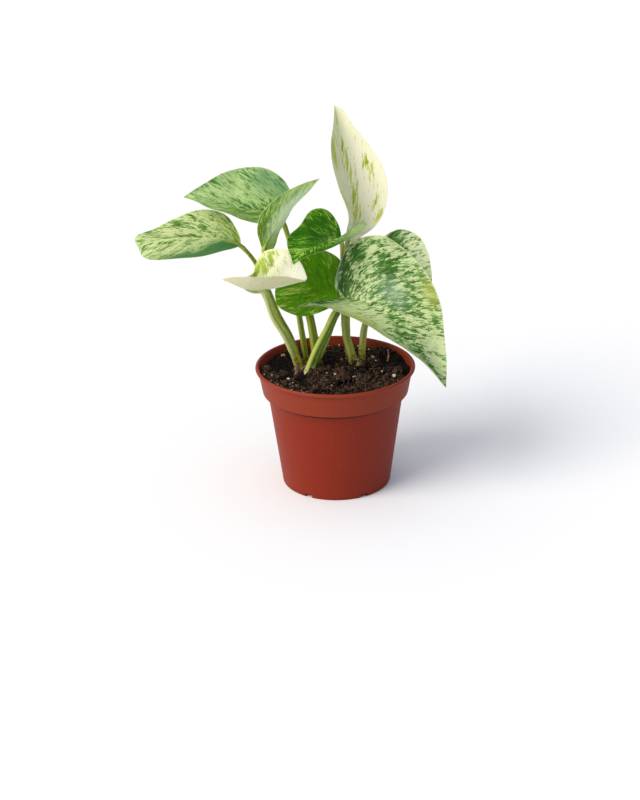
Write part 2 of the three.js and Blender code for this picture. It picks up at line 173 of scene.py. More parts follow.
def rough_noise(places: Array, cell: float, octaves: int = 3, seed: int = 0) -> Array:
    """Lattice noise added up: each layer has half the cell and half the height of the last."""
    layers = [lattice_noise(places, cell / 2**i, seed + i) / 2**i for i in range(octaves)]
    return np.sum(layers, axis=0)


def write_mesh(name: str, places: Array, faces: Sequence[Array], values: dict[str, Array]) -> Piece:
    """Writes a smooth-shaded mesh object.

    Args:
        name: the object's name.
        places: its vertices, in millimetres.
        faces: tables of corner numbers, where all faces of a table have as many corners.
        values: for each attribute's name, a number or a vector for each vertex.

    Returns:
        The object, at the origin.
    """
    mesh = bpy.data.meshes.new(name)
    corners = np.concatenate([table.ravel() for table in faces])
    sizes = np.concatenate([np.full(len(table), table.shape[1]) for table in faces])
    mesh.vertices.add(len(places))
    mesh.vertices.foreach_set("co", (places * MM).astype(np.float32).ravel())
    mesh.loops.add(len(corners))
    mesh.loops.foreach_set("vertex_index", corners.astype(np.int32))
    mesh.polygons.add(len(sizes))
    mesh.polygons.foreach_set("loop_start", np.r_[0, np.cumsum(sizes)[:-1]].astype(np.int32))
    mesh.polygons.foreach_set("use_smooth", np.ones(len(sizes), bool))
    mesh.update(calc_edges=True)
    for key, data in values.items():
        kind, slot = ("FLOAT", "value") if data.ndim == 1 else ("FLOAT_VECTOR", "vector")
        attribute = mesh.attributes.new(key, kind, "POINT")
        attribute.data.foreach_set(slot, data.astype(np.float32).ravel())
    piece = bpy.data.objects.new(name, mesh)
    bpy.context.scene.collection.objects.link(piece)
    return piece


@dataclass
class Shell:
    """A closed skin: rings of points from a first end point to a last one.

    Attributes:
        first: the end point before the first ring.
        rings: the points, by ring and then round the ring.
        last: the end point after the last ring.
        values: for each attribute's name, a number or a vector for each point of the rings.
    """

    first: Array
    rings: Array
    last: Array
    values: dict[str, Array] = field(default_factory=dict)

    def faces(self) -> list[Array]:
        """Joins the points by triangles round both end points and by quads between the rings.

        Returns:
            The corner numbers of the triangles and of the quads, facing outwards.
        """
        count, around = self.rings.shape[:2]
        index = 1 + np.arange(count * around).reshape(count, around)
        beside = np.roll(index, -1, axis=1)
        quads = np.stack([index[:-1], beside[:-1], beside[1:], index[1:]], -1).reshape(-1, 4)
        ends = [np.zeros(around, int), np.full(around, count * around + 1)]
        first = np.stack([ends[0], beside[0], index[0]], -1)
        last = np.stack([ends[1], index[-1], beside[-1]], -1)
        triangles = np.vstack([first, last])
        places = self.places()
        split = np.vstack([triangles, quads[:, [0, 1, 2]], quads[:, [0, 2, 3]]])
        a, b, c = (places[split[:, k]] for k in range(3))
        inside_out = np.einsum("ij,ij->i", a, np.cross(b, c)).sum() < 0
        return [table[:, ::-1] if inside_out else table for table in (triangles, quads)]

    def places(self) -> Array:
        """All points in one table: the first end, the rings and the last end."""
        return np.vstack([self.first, self.rings.reshape(-1, 3), self.last])

    def piece(self, name: str) -> Piece:
        """Writes the skin as a mesh object, where each end takes its ring's mean values.

        Args:
            name: the object's name.

        Returns:
            The object.
        """
        values = {}
        for key, data in self.values.items():
            table = data.reshape(*data.shape[:2], -1)
            flat = np.vstack([table[0].mean(0), table.reshape(-1, table.shape[2]), table[-1].mean(0)])
            values[key] = flat[:, 0] if data.ndim == 2 else flat
        return write_mesh(name, self.places(), self.faces(), values)


def ball(around: int, rings: int) -> Array:
    """Rings of points on a ball of radius 1, from its top to its bottom, without the two poles.

    Args:
        around: how many points a ring has.
        rings: how many rings there are.

    Returns:
        The points, by ring and then round the ring.
    """
    turn = np.linspace(0, 2 * np.pi, around, endpoint=False)
    fall = np.linspace(0, np.pi, rings + 2)[1:-1, None]
    level = np.broadcast_to(np.cos(fall), (rings, around))
    return np.stack([np.sin(fall) * np.cos(turn), np.sin(fall) * np.sin(turn), level], -1)


def dress(piece: Piece, material: Material, slot: str, *nodes: str) -> None:
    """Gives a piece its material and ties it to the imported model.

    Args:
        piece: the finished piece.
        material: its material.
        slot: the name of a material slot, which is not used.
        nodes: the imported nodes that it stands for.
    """
    piece.data.materials.append(material)
    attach(piece, BODY)
    if nodes:
        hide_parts(*nodes)
    log.info("%s: %d vertices", piece.name, len(piece.data.vertices))


class Nodes:
    """A node tree, written as calls that take sockets and return them."""

    def __init__(self, tree: bpy.types.NodeTree) -> None:
        """Takes the tree that gets the nodes."""
        self.tree = tree

    def feed(self, socket: Socket, value: object) -> None:
        """Links an input, sets its value, or leaves it alone.

        Args:
            socket: the input.
            value: an output to link, a plain value, or None.
        """
        if isinstance(value, Socket):
            self.tree.links.new(value, socket)
        elif value is not None:
            socket.default_value = value

    def node(self, kind: str, inputs: dict[int | str, object], **settings: object) -> bpy.types.Node:
        """Adds a node.

        Args:
            kind: the node's type.
            inputs: what each input takes, by its number or name.
            settings: the node's own settings, by name.

        Returns:
            The node.
        """
        made = self.tree.nodes.new(kind)
        for key, value in settings.items():
            setattr(made, key, value)
        for key, value in inputs.items():
            self.feed(made.inputs[key], value)
        return made

    def parts(self, vector: Socket) -> tuple[Socket, Socket, Socket]:
        """A vector's three numbers."""
        return tuple(self.node("ShaderNodeSeparateXYZ", {0: vector}).outputs)

    def mix(self, share: object, first: object, second: object, way: str = "MIX") -> Socket:
        """Two colours mixed by a share from 0 to 1."""
        inputs = {0: share, 6: first, 7: second}
        return self.node("ShaderNodeMix", inputs, data_type="RGBA", blend_type=way).outputs[2]


class Shade(Nodes):
    """The node tree of one material."""

    def __init__(self, name: str) -> None:
        """Starts a material with one Principled shader.

        Args:
            name: the material's name.
        """
        self.material = bpy.data.materials.new(name)
        self.material.use_nodes = True
        super().__init__(self.material.node_tree)
        self.shader = self.tree.nodes["Principled BSDF"]

    def read(self, name: str, output: str = "Fac") -> Socket:
        """A mesh attribute's number, or its vector with output set to Vector."""
        return self.node("ShaderNodeAttribute", {}, attribute_name=name).outputs[output]

    def place(self) -> Socket:
        """Object coordinates, in metres."""
        return self.node("ShaderNodeTexCoord", {}).outputs["Object"]

    def stretch(self, vector: Socket, scale: Point, offset: Point = (0, 0, 0)) -> Socket:
        """A vector scaled and then moved."""
        return self.node("ShaderNodeMapping", {0: vector, 1: offset, 3: scale}).outputs[0]

    def noise(
        self, vector: Socket, scale: float, detail: float = 3, rough: float = 0.5, warp: float = 0
    ) -> Socket:
        """Noise from 0 to 1, mostly near 0.5.

        Args:
            vector: where the noise is read.
            scale: how many waves of its broadest layer fit in one unit of the vector.
            detail: how many finer layers it has.
            rough: how strong each finer layer is beside the last.
            warp: how far its places are shifted by more noise.

        Returns:
            The noise.
        """
        levels = {"Scale": scale, "Detail": detail, "Roughness": rough, "Distortion": warp}
        return self.node("ShaderNodeTexNoise", {"Vector": vector, **levels}).outputs[0]

    def cells(self, vector: Socket, scale: float) -> Socket:
        """The distance to the nearest of many scattered points."""
        return self.node("ShaderNodeTexVoronoi", {"Vector": vector, "Scale": scale}).outputs["Distance"]

    def sum(self, first: object, second: object, operation: str = "ADD") -> Socket:
        """Two numbers joined by a sum, or by another operation."""
        return self.node("ShaderNodeMath", {0: first, 1: second}, operation=operation).outputs[0]

    def times(self, first: object, second: object) -> Socket:
        """The product of two numbers."""
        return self.sum(first, second, "MULTIPLY")

    def size(self, value: Socket) -> Socket:
        """A number without its sign."""
        return self.sum(value, 0.0, "ABSOLUTE")

    def step(self, value: Socket, low: float, high: float) -> Socket:
        """A soft step from 0 at low to 1 at high, where low may be the higher of the two.

        Args:
            value: the number that is compared.
            low: where the step is 0.
            high: where the step is 1.

        Returns:
            The step.
        """
        flip = low > high
        ends = {0: value, 1: min(low, high), 2: max(low, high), 3: float(flip), 4: float(not flip)}
        return self.node("ShaderNodeMapRange", ends, interpolation_type="SMOOTHSTEP").outputs[0]

    def over(self, base: Socket | Colour, share: Socket, code: str, most: float | None = None) -> Socket:
        """A colour laid over another by a share, which is scaled down where most is given."""
        return self.mix(share if most is None else self.times(share, most), base, colour(code))

    def bump(self, height: Socket, depth: float, normal: Socket | None = None) -> Socket:
        """A bent normal for a height from 0 to 1, where depth is the relief in millimetres."""
        inputs = {"Height": height, "Distance": depth * MM, "Strength": 1.0, "Normal": normal}
        return self.node("ShaderNodeBump", inputs).outputs[0]

    def close(
        self, base: object, rough: object, normal: Socket | None = None, **sockets: object
    ) -> Material:
        """Feeds the shader.

        Args:
            base: the base colour.
            rough: the roughness.
            normal: the bent normal, if there is one.
            sockets: what other inputs take, by name with _ for each space.

        Returns:
            The material.
        """
        self.feed(self.shader.inputs["Base Color"], base)
        self.feed(self.shader.inputs["Roughness"], rough)
        self.feed(self.shader.inputs["Normal"], normal)
        for key, value in sockets.items():
            self.feed(self.shader.inputs[key.replace("_", " ")], value)
        return self.material


class Tint(Enum):
    """What a soft spot on a blade does to its colour, by attribute name."""

    FLECKS = "flecks"
    DEEP = "deep"
    MIDDLE = "middle"
    PLAIN = "plain"
    YELLOW = "yellow"


@dataclass(frozen=True)
class LeafFinish:
    """A variegated blade: a green ground in streaks, with flecks that run along its lateral veins.

    Attributes:
        deep: the darkest green of the ground.
        green: the common green of the ground.
        middle: the lightest green of the ground.
        pale: a fleck's edge.
        cream: a fleck's middle.
        plain: the even colour of the plain spots, used on some blades as painted sheen, light and shade.
        yellow: the colour of the yellow spots.
        rib: the colour of the line along the rib.
        rim: the colour of the line along the margin.
        ground: the noise levels at which green and middle begin.
        cover: the noise level at which flecks begin.
        core: how much higher their cream begins.
        soft: half the width of those two steps.
        fleck: a fleck's width across the veins and its length along them.
        patch: the width and length of the patches that are richer or poorer in flecks.
        patchy: how much the patches count, from 0 to 1.
        fleck_shift: how far a spot of strength 1 moves the flecks' noise.
        ground_shift: how far it moves the ground's noise.
        rib_width: half the width of the line along the rib.
        rib_share: how strong that line is.
        rim_start: where the line along the margin begins, from the rib, 0, to the margin, 1.
        rim_share: how strong that line is.
        under: the colour that the under face leans to.
        under_share: how far it leans.
        rough: the skin's roughness where it is least.
        gloss: the skin's specular level.
        seed: picks another pattern.
    """

    deep: str
    green: str
    middle: str
    pale: str
    cream: str
    cover: float
    plain: str = "#6f9f74"
    yellow: str = "#a9b84e"
    rib: str = "#9dba62"
    rim: str = "#c3cf95"
    ground: tuple[float, float] = (0.45, 0.56)
    core: float = 0.03
    soft: float = 0.012
    fleck: tuple[float, float] = (0.9, 2.6)
    patch: tuple[float, float] = (5.0, 9.0)
    patchy: float = 0.35
    fleck_shift: float = 0.25
    ground_shift: float = 0.2
    rib_width: float = 0.35
    rib_share: float = 0.5
    rim_start: float = 0.972
    rim_share: float = 0.6
    under: str = "#93aa72"
    under_share: float = 0.5
    rough: float = 0.38
    gloss: float = 0.35
    seed: float = 0.0

    def pattern(self, shade: Shade, vein: Socket) -> tuple[Socket, Socket]:
        """The ground's streaks, the flecks on them and the soft spots over both.

        Three noises are read at a point's place across and along the veins. A long, narrow one
        makes flecks where it passes a level, a broad one moves that level from patch to patch, and
        the streaks of a third one choose among the ground's greens. Soft spots then shift the
        fleck level and the ground, or lay an even colour over both.

        Args:
            shade: the material's node tree.
            vein: the place across and along the veins, in millimetres.

        Returns:
            The colour, and the noise that makes the flecks.
        """
        amounts = {tint: shade.read(tint.value) for tint in Tint}
        width, length = self.fleck
        moved = (self.seed * 7.3, self.seed * 3.1, self.seed)
        grain = shade.noise(shade.stretch(vein, (1 / width, 1 / length, 0), moved), 0.6, 6, 0.78, 0.35)
        broad = (1 / self.patch[0], 1 / self.patch[1], 0)
        patches = shade.noise(shade.stretch(vein, broad, moved), 1.0, 2, 0.5, 0.3)
        level = shade.sum(grain, shade.times(shade.sum(patches, -0.5), self.patchy))
        level = shade.sum(level, shade.times(amounts[Tint.FLECKS], self.fleck_shift))
        drawn = (0.5 / width, 0.35 / length, 0)
        streaks = shade.noise(shade.stretch(vein, drawn, moved[::-1]), 1.0, 6, 0.64, 0.4)
        streaks = shade.sum(streaks, shade.times(amounts[Tint.DEEP], -self.ground_shift))
        streaks = shade.sum(streaks, shade.times(amounts[Tint.MIDDLE], self.ground_shift))
        first, second = self.ground
        skin = shade.over(colour(self.deep), shade.step(streaks, first - 0.05, first + 0.05), self.green)
        skin = shade.over(skin, shade.step(streaks, second - 0.03, second + 0.05), self.middle)
        for start, code in ((self.cover, self.pale), (self.cover + self.core, self.cream)):
            skin = shade.over(skin, shade.step(level, start - self.soft, start + self.soft), code)
        skin = shade.over(skin, amounts[Tint.YELLOW], self.yellow, 0.75)
        # Plain spots: on some blades painted sheen, painted light and painted shade.
        return shade.over(skin, amounts[Tint.PLAIN], self.plain), grain

    def material(self, name: str) -> Material:
        """The blade's material: its pattern with the lines and the under face laid over it.

        Args:
            name: the material's name.

        Returns:
            The material.
        """
        shade = Shade(name)
        vein = shade.read("vein", "Vector")
        skin, grain = self.pattern(shade, vein)
        fine = shade.noise(shade.stretch(vein, (6, 1.2, 0)), 1.0, 3, 0.6)
        tone = shade.mix(shade.step(fine, 0.35, 0.65), (0.86, 0.88, 0.86, 1), (1, 1, 1, 1))
        skin = shade.mix(1.0, skin, tone, "MULTIPLY")
        off_rib = shade.size(shade.parts(vein)[1])
        line = shade.step(off_rib, self.rib_width * 1.6, self.rib_width * 0.5)
        skin = shade.over(skin, line, self.rib, self.rib_share)
        blade = shade.parts(shade.read("blade", "Vector"))
        edge = shade.step(shade.size(blade[1]), self.rim_start, self.rim_start + 0.02)
        skin = shade.over(skin, edge, self.rim, self.rim_share)
        skin = shade.over(skin, shade.step(blade[2], 0.3, -0.3), self.under, self.under_share)
        rough = shade.sum(self.rough, shade.times(shade.noise(shade.place(), 2500, 2), 0.14))
        pores = shade.noise(shade.place(), 3500, 2)
        normal = shade.bump(pores, 0.02, shade.bump(grain, 0.07))
        return shade.close(
            skin, rough, normal, Subsurface_Weight=0.06, Subsurface_Scale=0.0006,
            Subsurface_Radius=(0.7, 1.0, 0.25), Specular_IOR_Level=self.gloss,
        )


def both_faces(upper: Array, lower: Array) -> Array:
    """Rows over the upper face, run back under the blade without its two margins."""
    return np.concatenate([upper, lower[:, -2:0:-1]], axis=1)


@dataclass
class Leaf:
    """One blade: two halves that each span from the rib to a margin.

    Attributes:
        name: what the blade and its stalk are called.
        slot: the name of its material slot.
        rib: points along the rib, from base to tip.
        left: points along the left margin, as seen along the rib from above.
        right: points along the right margin.
        bulge: how far the left and right halves swell above the plane from rib to margin.
        finish: its colours.
        spots: each tint's soft spots. A spot is its place along, from base, 0, to tip, 1, and
            across, from the left margin, -1, to the right one, 1, then its half sizes along and
            across, and its strength.
        veins: how many lateral veins each half has.
        quilt: how far the blade rises between the veins.
        ripple: how far the margin waves up and down.
        rib_depth: how far the blade sinks along the rib.
        thickness: of the blade.
        start: the power in the formula for where a lateral vein starts on the rib.
        sweep: how far along the blade a fleck line runs from rib to left and to right margin.
        rows: how many points the skin has along the rib.
        columns: how many it has from margin to margin.
    """

    name: str
    slot: str
    rib: list[Point]
    left: list[Point]
    right: list[Point]
    bulge: tuple[float, float]
    finish: LeafFinish
    spots: dict[Tint, list[Spot]]
    veins: int = 8
    quilt: float = 0.16
    ripple: float = 0.15
    rib_depth: float = 0.22
    thickness: float = 0.46
    start: float = 1.5
    sweep: tuple[float, float] = (0.3, 0.3)
    rows: int = 96
    columns: int = 61

    def middle(self, along: Array, across: Array) -> tuple[Array, Array]:
        """The blade's middle surface.

        A lateral vein starts on the rib at along to the power start and ends on the margin at along.
        A point lies on it at the share given by across, and is lifted off it by the bulge times
        4 across (1 - across) times the 0.6th power of sin(pi along).

        Args:
            along: shares from base to tip.
            across: shares from the left margin, -1, to the right one, 1.

        Returns:
            The points, by along and then across, and each vein's length for each half.
        """
        start = along**self.start
        base = curve_places(self.rib, start)
        ahead, behind = (curve_places(self.rib, (start + way).clip(0, 1)) for way in (0.01, -0.01))
        slope = unit(ahead - behind)
        halves = []
        lengths = []
        for margin, swell, sign in zip((self.left, self.right), self.bulge, (-1, 1)):
            end = curve_places([self.rib[0], *margin, self.rib[-1]], along)
            vein = end - base
            lift = unit(np.cross(slope, vein)) * sign
            share = np.abs(across[(across * sign) >= 0])[None, :, None]
            height = swell * 4 * share * (1 - share) * (np.sin(np.pi * along) ** 0.6)[:, None, None]
            halves.append(base[:, None] + vein[:, None] * share + lift[:, None] * height)
            lengths.append(np.linalg.norm(vein, axis=1))
        places = np.concatenate([halves[0][:, :-1], halves[1]], axis=1)
        return places, np.stack(lengths, -1)

    def relief(self, along: Array, across: Array) -> Array:
        """How far the blade stands off its middle surface.

        It sinks along the rib by a narrow bell curve, rises between lateral veins as the size of a
        sine of along, and waves at the margin as a slow sine of along times across squared.

        Args:
            along: shares from base to tip.
            across: shares from the left margin, -1, to the right one, 1.

        Returns:
            One height for each pair of shares.
        """
        inner = np.sin(np.pi * np.abs(across)) ** 0.7
        bend = along + 0.02 * np.sin(9 * along + 3 * across)
        between = np.abs(np.sin(np.pi * self.veins * bend)) ** 0.6 - 0.6
        groove = np.exp(-((across / 0.05) ** 2)) * np.sin(np.pi * along) ** 0.5
        wave = np.sin(2 * np.pi * (2.6 * along + 0.2 * np.sign(across))) * across**2
        ends = np.sin(np.pi * along) ** 0.5
        return self.quilt * between * inner * ends - self.rib_depth * groove + self.ripple * wave * ends

    def skin(self) -> Shell:
        """The closed skin: over the upper face from left to right and back under the lower one.

        Returns:
            The skin, with attributes for the place on the blade, the place along the veins and
            each tint.
        """
        along = np.linspace(0, 1, self.rows)[1:-1]
        half = np.sin(np.linspace(0, np.pi / 2, self.columns // 2 + 1))
        across = np.r_[-half[:0:-1], half]
        places, lengths = self.middle(along, across)
        forward = np.gradient(places, axis=0)
        sideways = np.gradient(places, axis=1)
        up = unit(np.cross(sideways, forward))
        grid_along, grid_across = np.meshgrid(along, across, indexing="ij")
        rise = self.relief(grid_along, grid_across)
        edge = np.sqrt(1 - np.abs(grid_across) ** 8)
        half_thick = self.thickness / 2 * edge * np.sin(np.pi * grid_along) ** 0.3
        top = places + up * (rise + half_thick)[..., None]
        bottom = places + up * (rise - half_thick)[..., None]
        run = (curve_length(self.rib) + curve_length(self.left)) / 2
        reach = lengths / lengths.max(axis=0) * self.sweep
        slant = np.hypot(lengths, reach * run)
        reach, slant = (np.where(grid_across < 0, pair[:, :1], pair[:, 1:]) for pair in (reach, slant))
        swept = grid_along - reach * np.abs(grid_across)
        vein = np.stack([swept * run, grid_across * slant, np.zeros_like(slant)], -1)
        face = np.ones_like(grid_along)
        face[:, [0, -1]] = 0
        blade = np.stack([grid_along, grid_across, face], -1)
        values = {"vein": both_faces(vein, vein), "blade": both_faces(blade, blade * (1, 1, -1))}
        for tint in Tint:
            amount = self.tint_amount(tint, grid_along, grid_across)
            values[tint.value] = both_faces(amount, amount)
        base, tip = (np.array(self.rib[end], float) for end in (0, -1))
        return Shell(base, both_faces(top, bottom), tip, values)

    def tint_amount(self, tint: Tint, along: Array, across: Array) -> Array:
        """The sum of one tint's spots, each a bell curve, kept from -1 to 1.

        Args:
            tint: the tint.
            along: shares from base to tip.
            across: shares from the left margin, -1, to the right one, 1.

        Returns:
            One amount for each pair of shares.
        """
        total = np.zeros_like(along)
        for at, beside, reach, width, strength in self.spots.get(tint, []):
            off = ((along - at) / reach) ** 2 + ((across - beside) / width) ** 2
            total += strength * np.exp(-off)
        return total.clip(-1, 1)

    def below_rib(self, shares: Array, depth: Array) -> Array:
        """Places under the rib, for the keel that continues the stalk.

        Args:
            shares: how far along the rib each place is.
            depth: how far under the rib it is.

        Returns:
            The places.
        """
        along = shares ** (1 / self.start)
        places, _ = self.middle(along.clip(0.02, 0.98), np.array([-0.1, 0.0, 0.1]))
        along_rib = curve_places(self.rib, shares)
        slope = unit(np.gradient(along_rib, axis=0))
        up = unit(np.cross(places[:, 2] - places[:, 0], slope))
        return along_rib - up * depth[:, None]

    def build(self) -> None:
        """Builds and dresses the blade."""
        piece = self.skin().piece(f"blade_{self.name}")
        dress(piece, self.finish.material(f"blade {self.name}"), self.slot, f"leaf_{self.name}")


@dataclass(frozen=True)
class StalkFinish:
    """A leaf stalk: pale and green sides, a darker channel and a browner foot.

    Attributes:
        pale: the lighter side's colour.
        green: the darker side's colour.
        channel: the colour inside the channel.
        foot: the colour at the soil.
        foot_height: how far up the stalk the foot's colour fades out.
        scab: how much brown scab the foot has, from 0 to 1.
        scab_colour: the scab's colour.
        balance: below 0 makes more of the stalk pale, above 0 more of it green.
    """

    pale: str = "#abb64c"
    green: str = "#6b861c"
    channel: str = "#566c14"
    foot: str = "#7d7a26"
    foot_height: float = 9.0
    scab: float = 0.3
    scab_colour: str = "#4a3420"
    balance: float = 0.0

    def material(self, name: str) -> Material:
        """The stalk's material, with streaks that run along it.

        Args:
            name: the material's name.

        Returns:
            The material.
        """
        shade = Shade(name)
        wrap = shade.read("wrap", "Vector")
        streaks = shade.noise(shade.stretch(wrap, (2.4, 2.4, 0.06)), 1.0, 4, 0.6)
        side, _, rise = shade.parts(wrap)
        lean = shade.sum(shade.times(side, 0.16), shade.sum(streaks, self.balance * 0.2))
        body = shade.over(colour(self.pale), shade.step(lean, 0.42, 0.58), self.green)
        body = shade.over(body, shade.read("channel"), self.channel, 0.85)
        speck = shade.noise(shade.place(), 1500, 4, 0.6)
        body = shade.over(body, shade.step(speck, 0.5, 0.7), self.pale, 0.3)
        low = shade.step(rise, self.foot_height, 0.0)
        body = shade.over(body, low, self.foot, 0.8)
        patchy = shade.sum(shade.noise(shade.place(), 800, 4, 0.7), shade.times(low, self.scab * 0.5))
        scabs = shade.times(shade.step(patchy, 0.62, 0.7), low)
        body = shade.over(body, scabs, self.scab_colour)
        rough = shade.sum(0.42, shade.times(scabs, 0.4))
        normal = shade.bump(patchy, 0.12, shade.bump(streaks, 0.06))
        return shade.close(
            body, rough, normal, Subsurface_Weight=0.12, Subsurface_Scale=0.0015,
            Subsurface_Radius=(0.8, 1.0, 0.3), Specular_IOR_Level=0.2,
        )


@dataclass
class Stalk:
    """A leaf stalk that runs on under the blade as the rib's keel.

    Attributes:
        leaf: the blade that it carries.
        path: points from the buried foot up to the blade's base.
        radius: at the foot and at the blade.
        slot: the name of its material slot.
        finish: its colours.
        channel_towards: the side that the channel faces.
        channel_depth: the channel's depth, as a share of the radius.
        channel_turn: half its width, as an angle round the stalk in radians.
        lip: the rise on both sides of the channel, as a share of the channel's depth.
        lip_place: where those rises are, as an angle from the channel's middle.
        lip_turn: half the width of each.
        swell: how far the stalk swells at the blade, as a share of the radius.
        knobs: how uneven the skin is, as a share of the radius.
        keel: how far along the rib the keel reaches.
        drop: how far under the rib the keel begins, as a share of the radius.
        drop_end: how far under it the keel ends.
        end_radius: the keel's radius at its end.
        steps: how many rings of points the skin has.
        sides: how many points a ring has.
    """

    leaf: Leaf
    path: list[Point]
    radius: tuple[float, float]
    slot: str
    finish: StalkFinish
    channel_towards: Point = (0.3, -1, 0.2)
    channel_depth: float = 0.28
    channel_turn: float = 0.42
    lip: float = 0.45
    lip_place: float = 0.85
    lip_turn: float = 0.35
    swell: float = 0.12
    knobs: float = 0.05
    keel: float = 0.45
    drop: float = 0.55
    drop_end: float = 0.25
    end_radius: float = 0.15
    steps: int = 90
    sides: int = 28

    def route(self) -> tuple[list[Point], float, float]:
        """The stalk's path, run on along the keel.

        Returns:
            The points, the whole length and the share of it at which the blade begins.
        """
        depth = np.linspace(self.drop, self.drop_end, 5) * self.radius[1]
        places = self.leaf.below_rib(np.linspace(0.02, self.keel, 5), depth)
        keel = [tuple(place) for place in places]
        points = [*self.path[:-1], *keel]
        whole = curve_length(points)
        return points, whole, 1 - curve_length(keel) / whole

    def skin(self) -> Shell:
        """The closed skin.

        The section is a circle whose radius dips by a bell curve round the channel and rises a
        little on both sides of it. It is carried along the route, thins steadily to the blade,
        swells a little there by another bell curve, and then tapers along the keel.

        Returns:
            The skin, with attributes for the place round and along the stalk and the channel.
        """
        points, whole, joint = self.route()
        foot, top = self.radius
        shares = np.linspace(0, 1, self.steps + 2)
        centre = curve_places(points, shares)
        bends = [0, joint, min(joint + 0.05, 0.99), 1]
        radius = np.interp(shares, bends, [foot, top, top * 0.6, self.end_radius])
        radius = radius + self.swell * top * np.exp(-(((shares - joint + 0.03) / 0.03) ** 2))
        tangent = unit(np.gradient(centre, axis=0))
        towards = np.array(self.channel_towards, float)
        front = unit(towards - tangent * (tangent @ towards)[:, None])
        side = np.cross(tangent, front)
        angle = np.linspace(-np.pi, np.pi, self.sides, endpoint=False)
        lips = np.exp(-(((np.abs(angle) - self.lip_place) / self.lip_turn) ** 2))
        dip = np.exp(-((angle / self.channel_turn) ** 2)) - self.lip * lips
        fade = smooth(shares, 0, 0.12) * smooth(shares, joint + 0.02, joint - 0.12)
        section = radius[:, None] * (1 - self.channel_depth * dip[None] * fade[:, None])
        knobs = rough_noise(centre[:, None] + section[..., None] * front[:, None], 2.5, 2)
        section = section * (1 + self.knobs * knobs)
        cos, sin = np.cos(angle)[None, :, None], np.sin(angle)[None, :, None]
        rings = centre[:, None] + section[..., None] * (cos * front[:, None] + sin * side[:, None])
        rise = np.broadcast_to((shares * whole)[:, None], section.shape)
        above = rise - np.interp(SOIL_LEVEL, centre[:, 2], shares * whole)
        wrap = np.stack([section * np.sin(angle), section * np.cos(angle), above], -1)
        channel = dip.clip(0, 1)[None] * fade[:, None]
        return Shell(centre[0], rings[1:-1], centre[-1], {"wrap": wrap[1:-1], "channel": channel[1:-1]})

    def build(self) -> None:
        """Builds and dresses the stalk."""
        name = self.leaf.name
        piece = self.skin().piece(f"petiole_{name}")
        dress(piece, self.finish.material(f"petiole {name}"), self.slot, f"stalk_{name}")


@dataclass(frozen=True)
class PlasticFinish:
    """Moulded terracotta-coloured plastic.

    Attributes:
        body: the colour below the collar, darker than the collar's colour as painted shade.
        collar: the slightly greyer colour of the collar.
        worn: the colour of fine scuffs.
        painted_crease_shade: the colour of the painted shade in the crease under the collar.
        dust: the colour of specks of dust.
    """

    body: str = "#7a230f"
    collar: str = "#802f1a"
    worn: str = "#883823"
    painted_crease_shade: str = "#2a0b05"
    dust: str = "#c29a88"

    def material(self, crease: float) -> Material:
        """Even plastic with fine scuffs, a soft gloss and painted shade in the crease under the collar.

        Args:
            crease: the height of the collar's foot, in millimetres.

        Returns:
            The material.
        """
        shade = Shade("terracotta plastic")
        place = shade.place()
        scuff = shade.noise(shade.stretch(place, (900, 900, 160)), 1.0, 4, 0.65)
        height = shade.times(shade.parts(place)[2], 1 / MM)
        # Painted shade: the body below the collar is darker than the collar.
        base = shade.over(colour(self.body), shade.step(height, crease - 0.5, crease), self.collar)
        base = shade.over(base, shade.step(scuff, 0.55, 0.75), self.worn, 0.3)
        # Painted shade: a dark band just under the collar's foot, where its overhang shades the body.
        rising = shade.step(height, crease - 2.1, crease - 1.3)
        falling = shade.step(height, crease - 0.2, crease - 0.35)
        base = shade.over(base, shade.times(rising, falling), self.painted_crease_shade, 0.8)
        specks = shade.step(shade.noise(place, 2600, 2), 0.64, 0.72)
        base = shade.over(base, specks, self.dust, 0.08)
        rough = shade.sum(0.46, shade.times(scuff, 0.12))
        normal = shade.bump(shade.noise(place, 3200, 2), 0.012)
        return shade.close(base, rough, normal, Specular_IOR_Level=0.15)


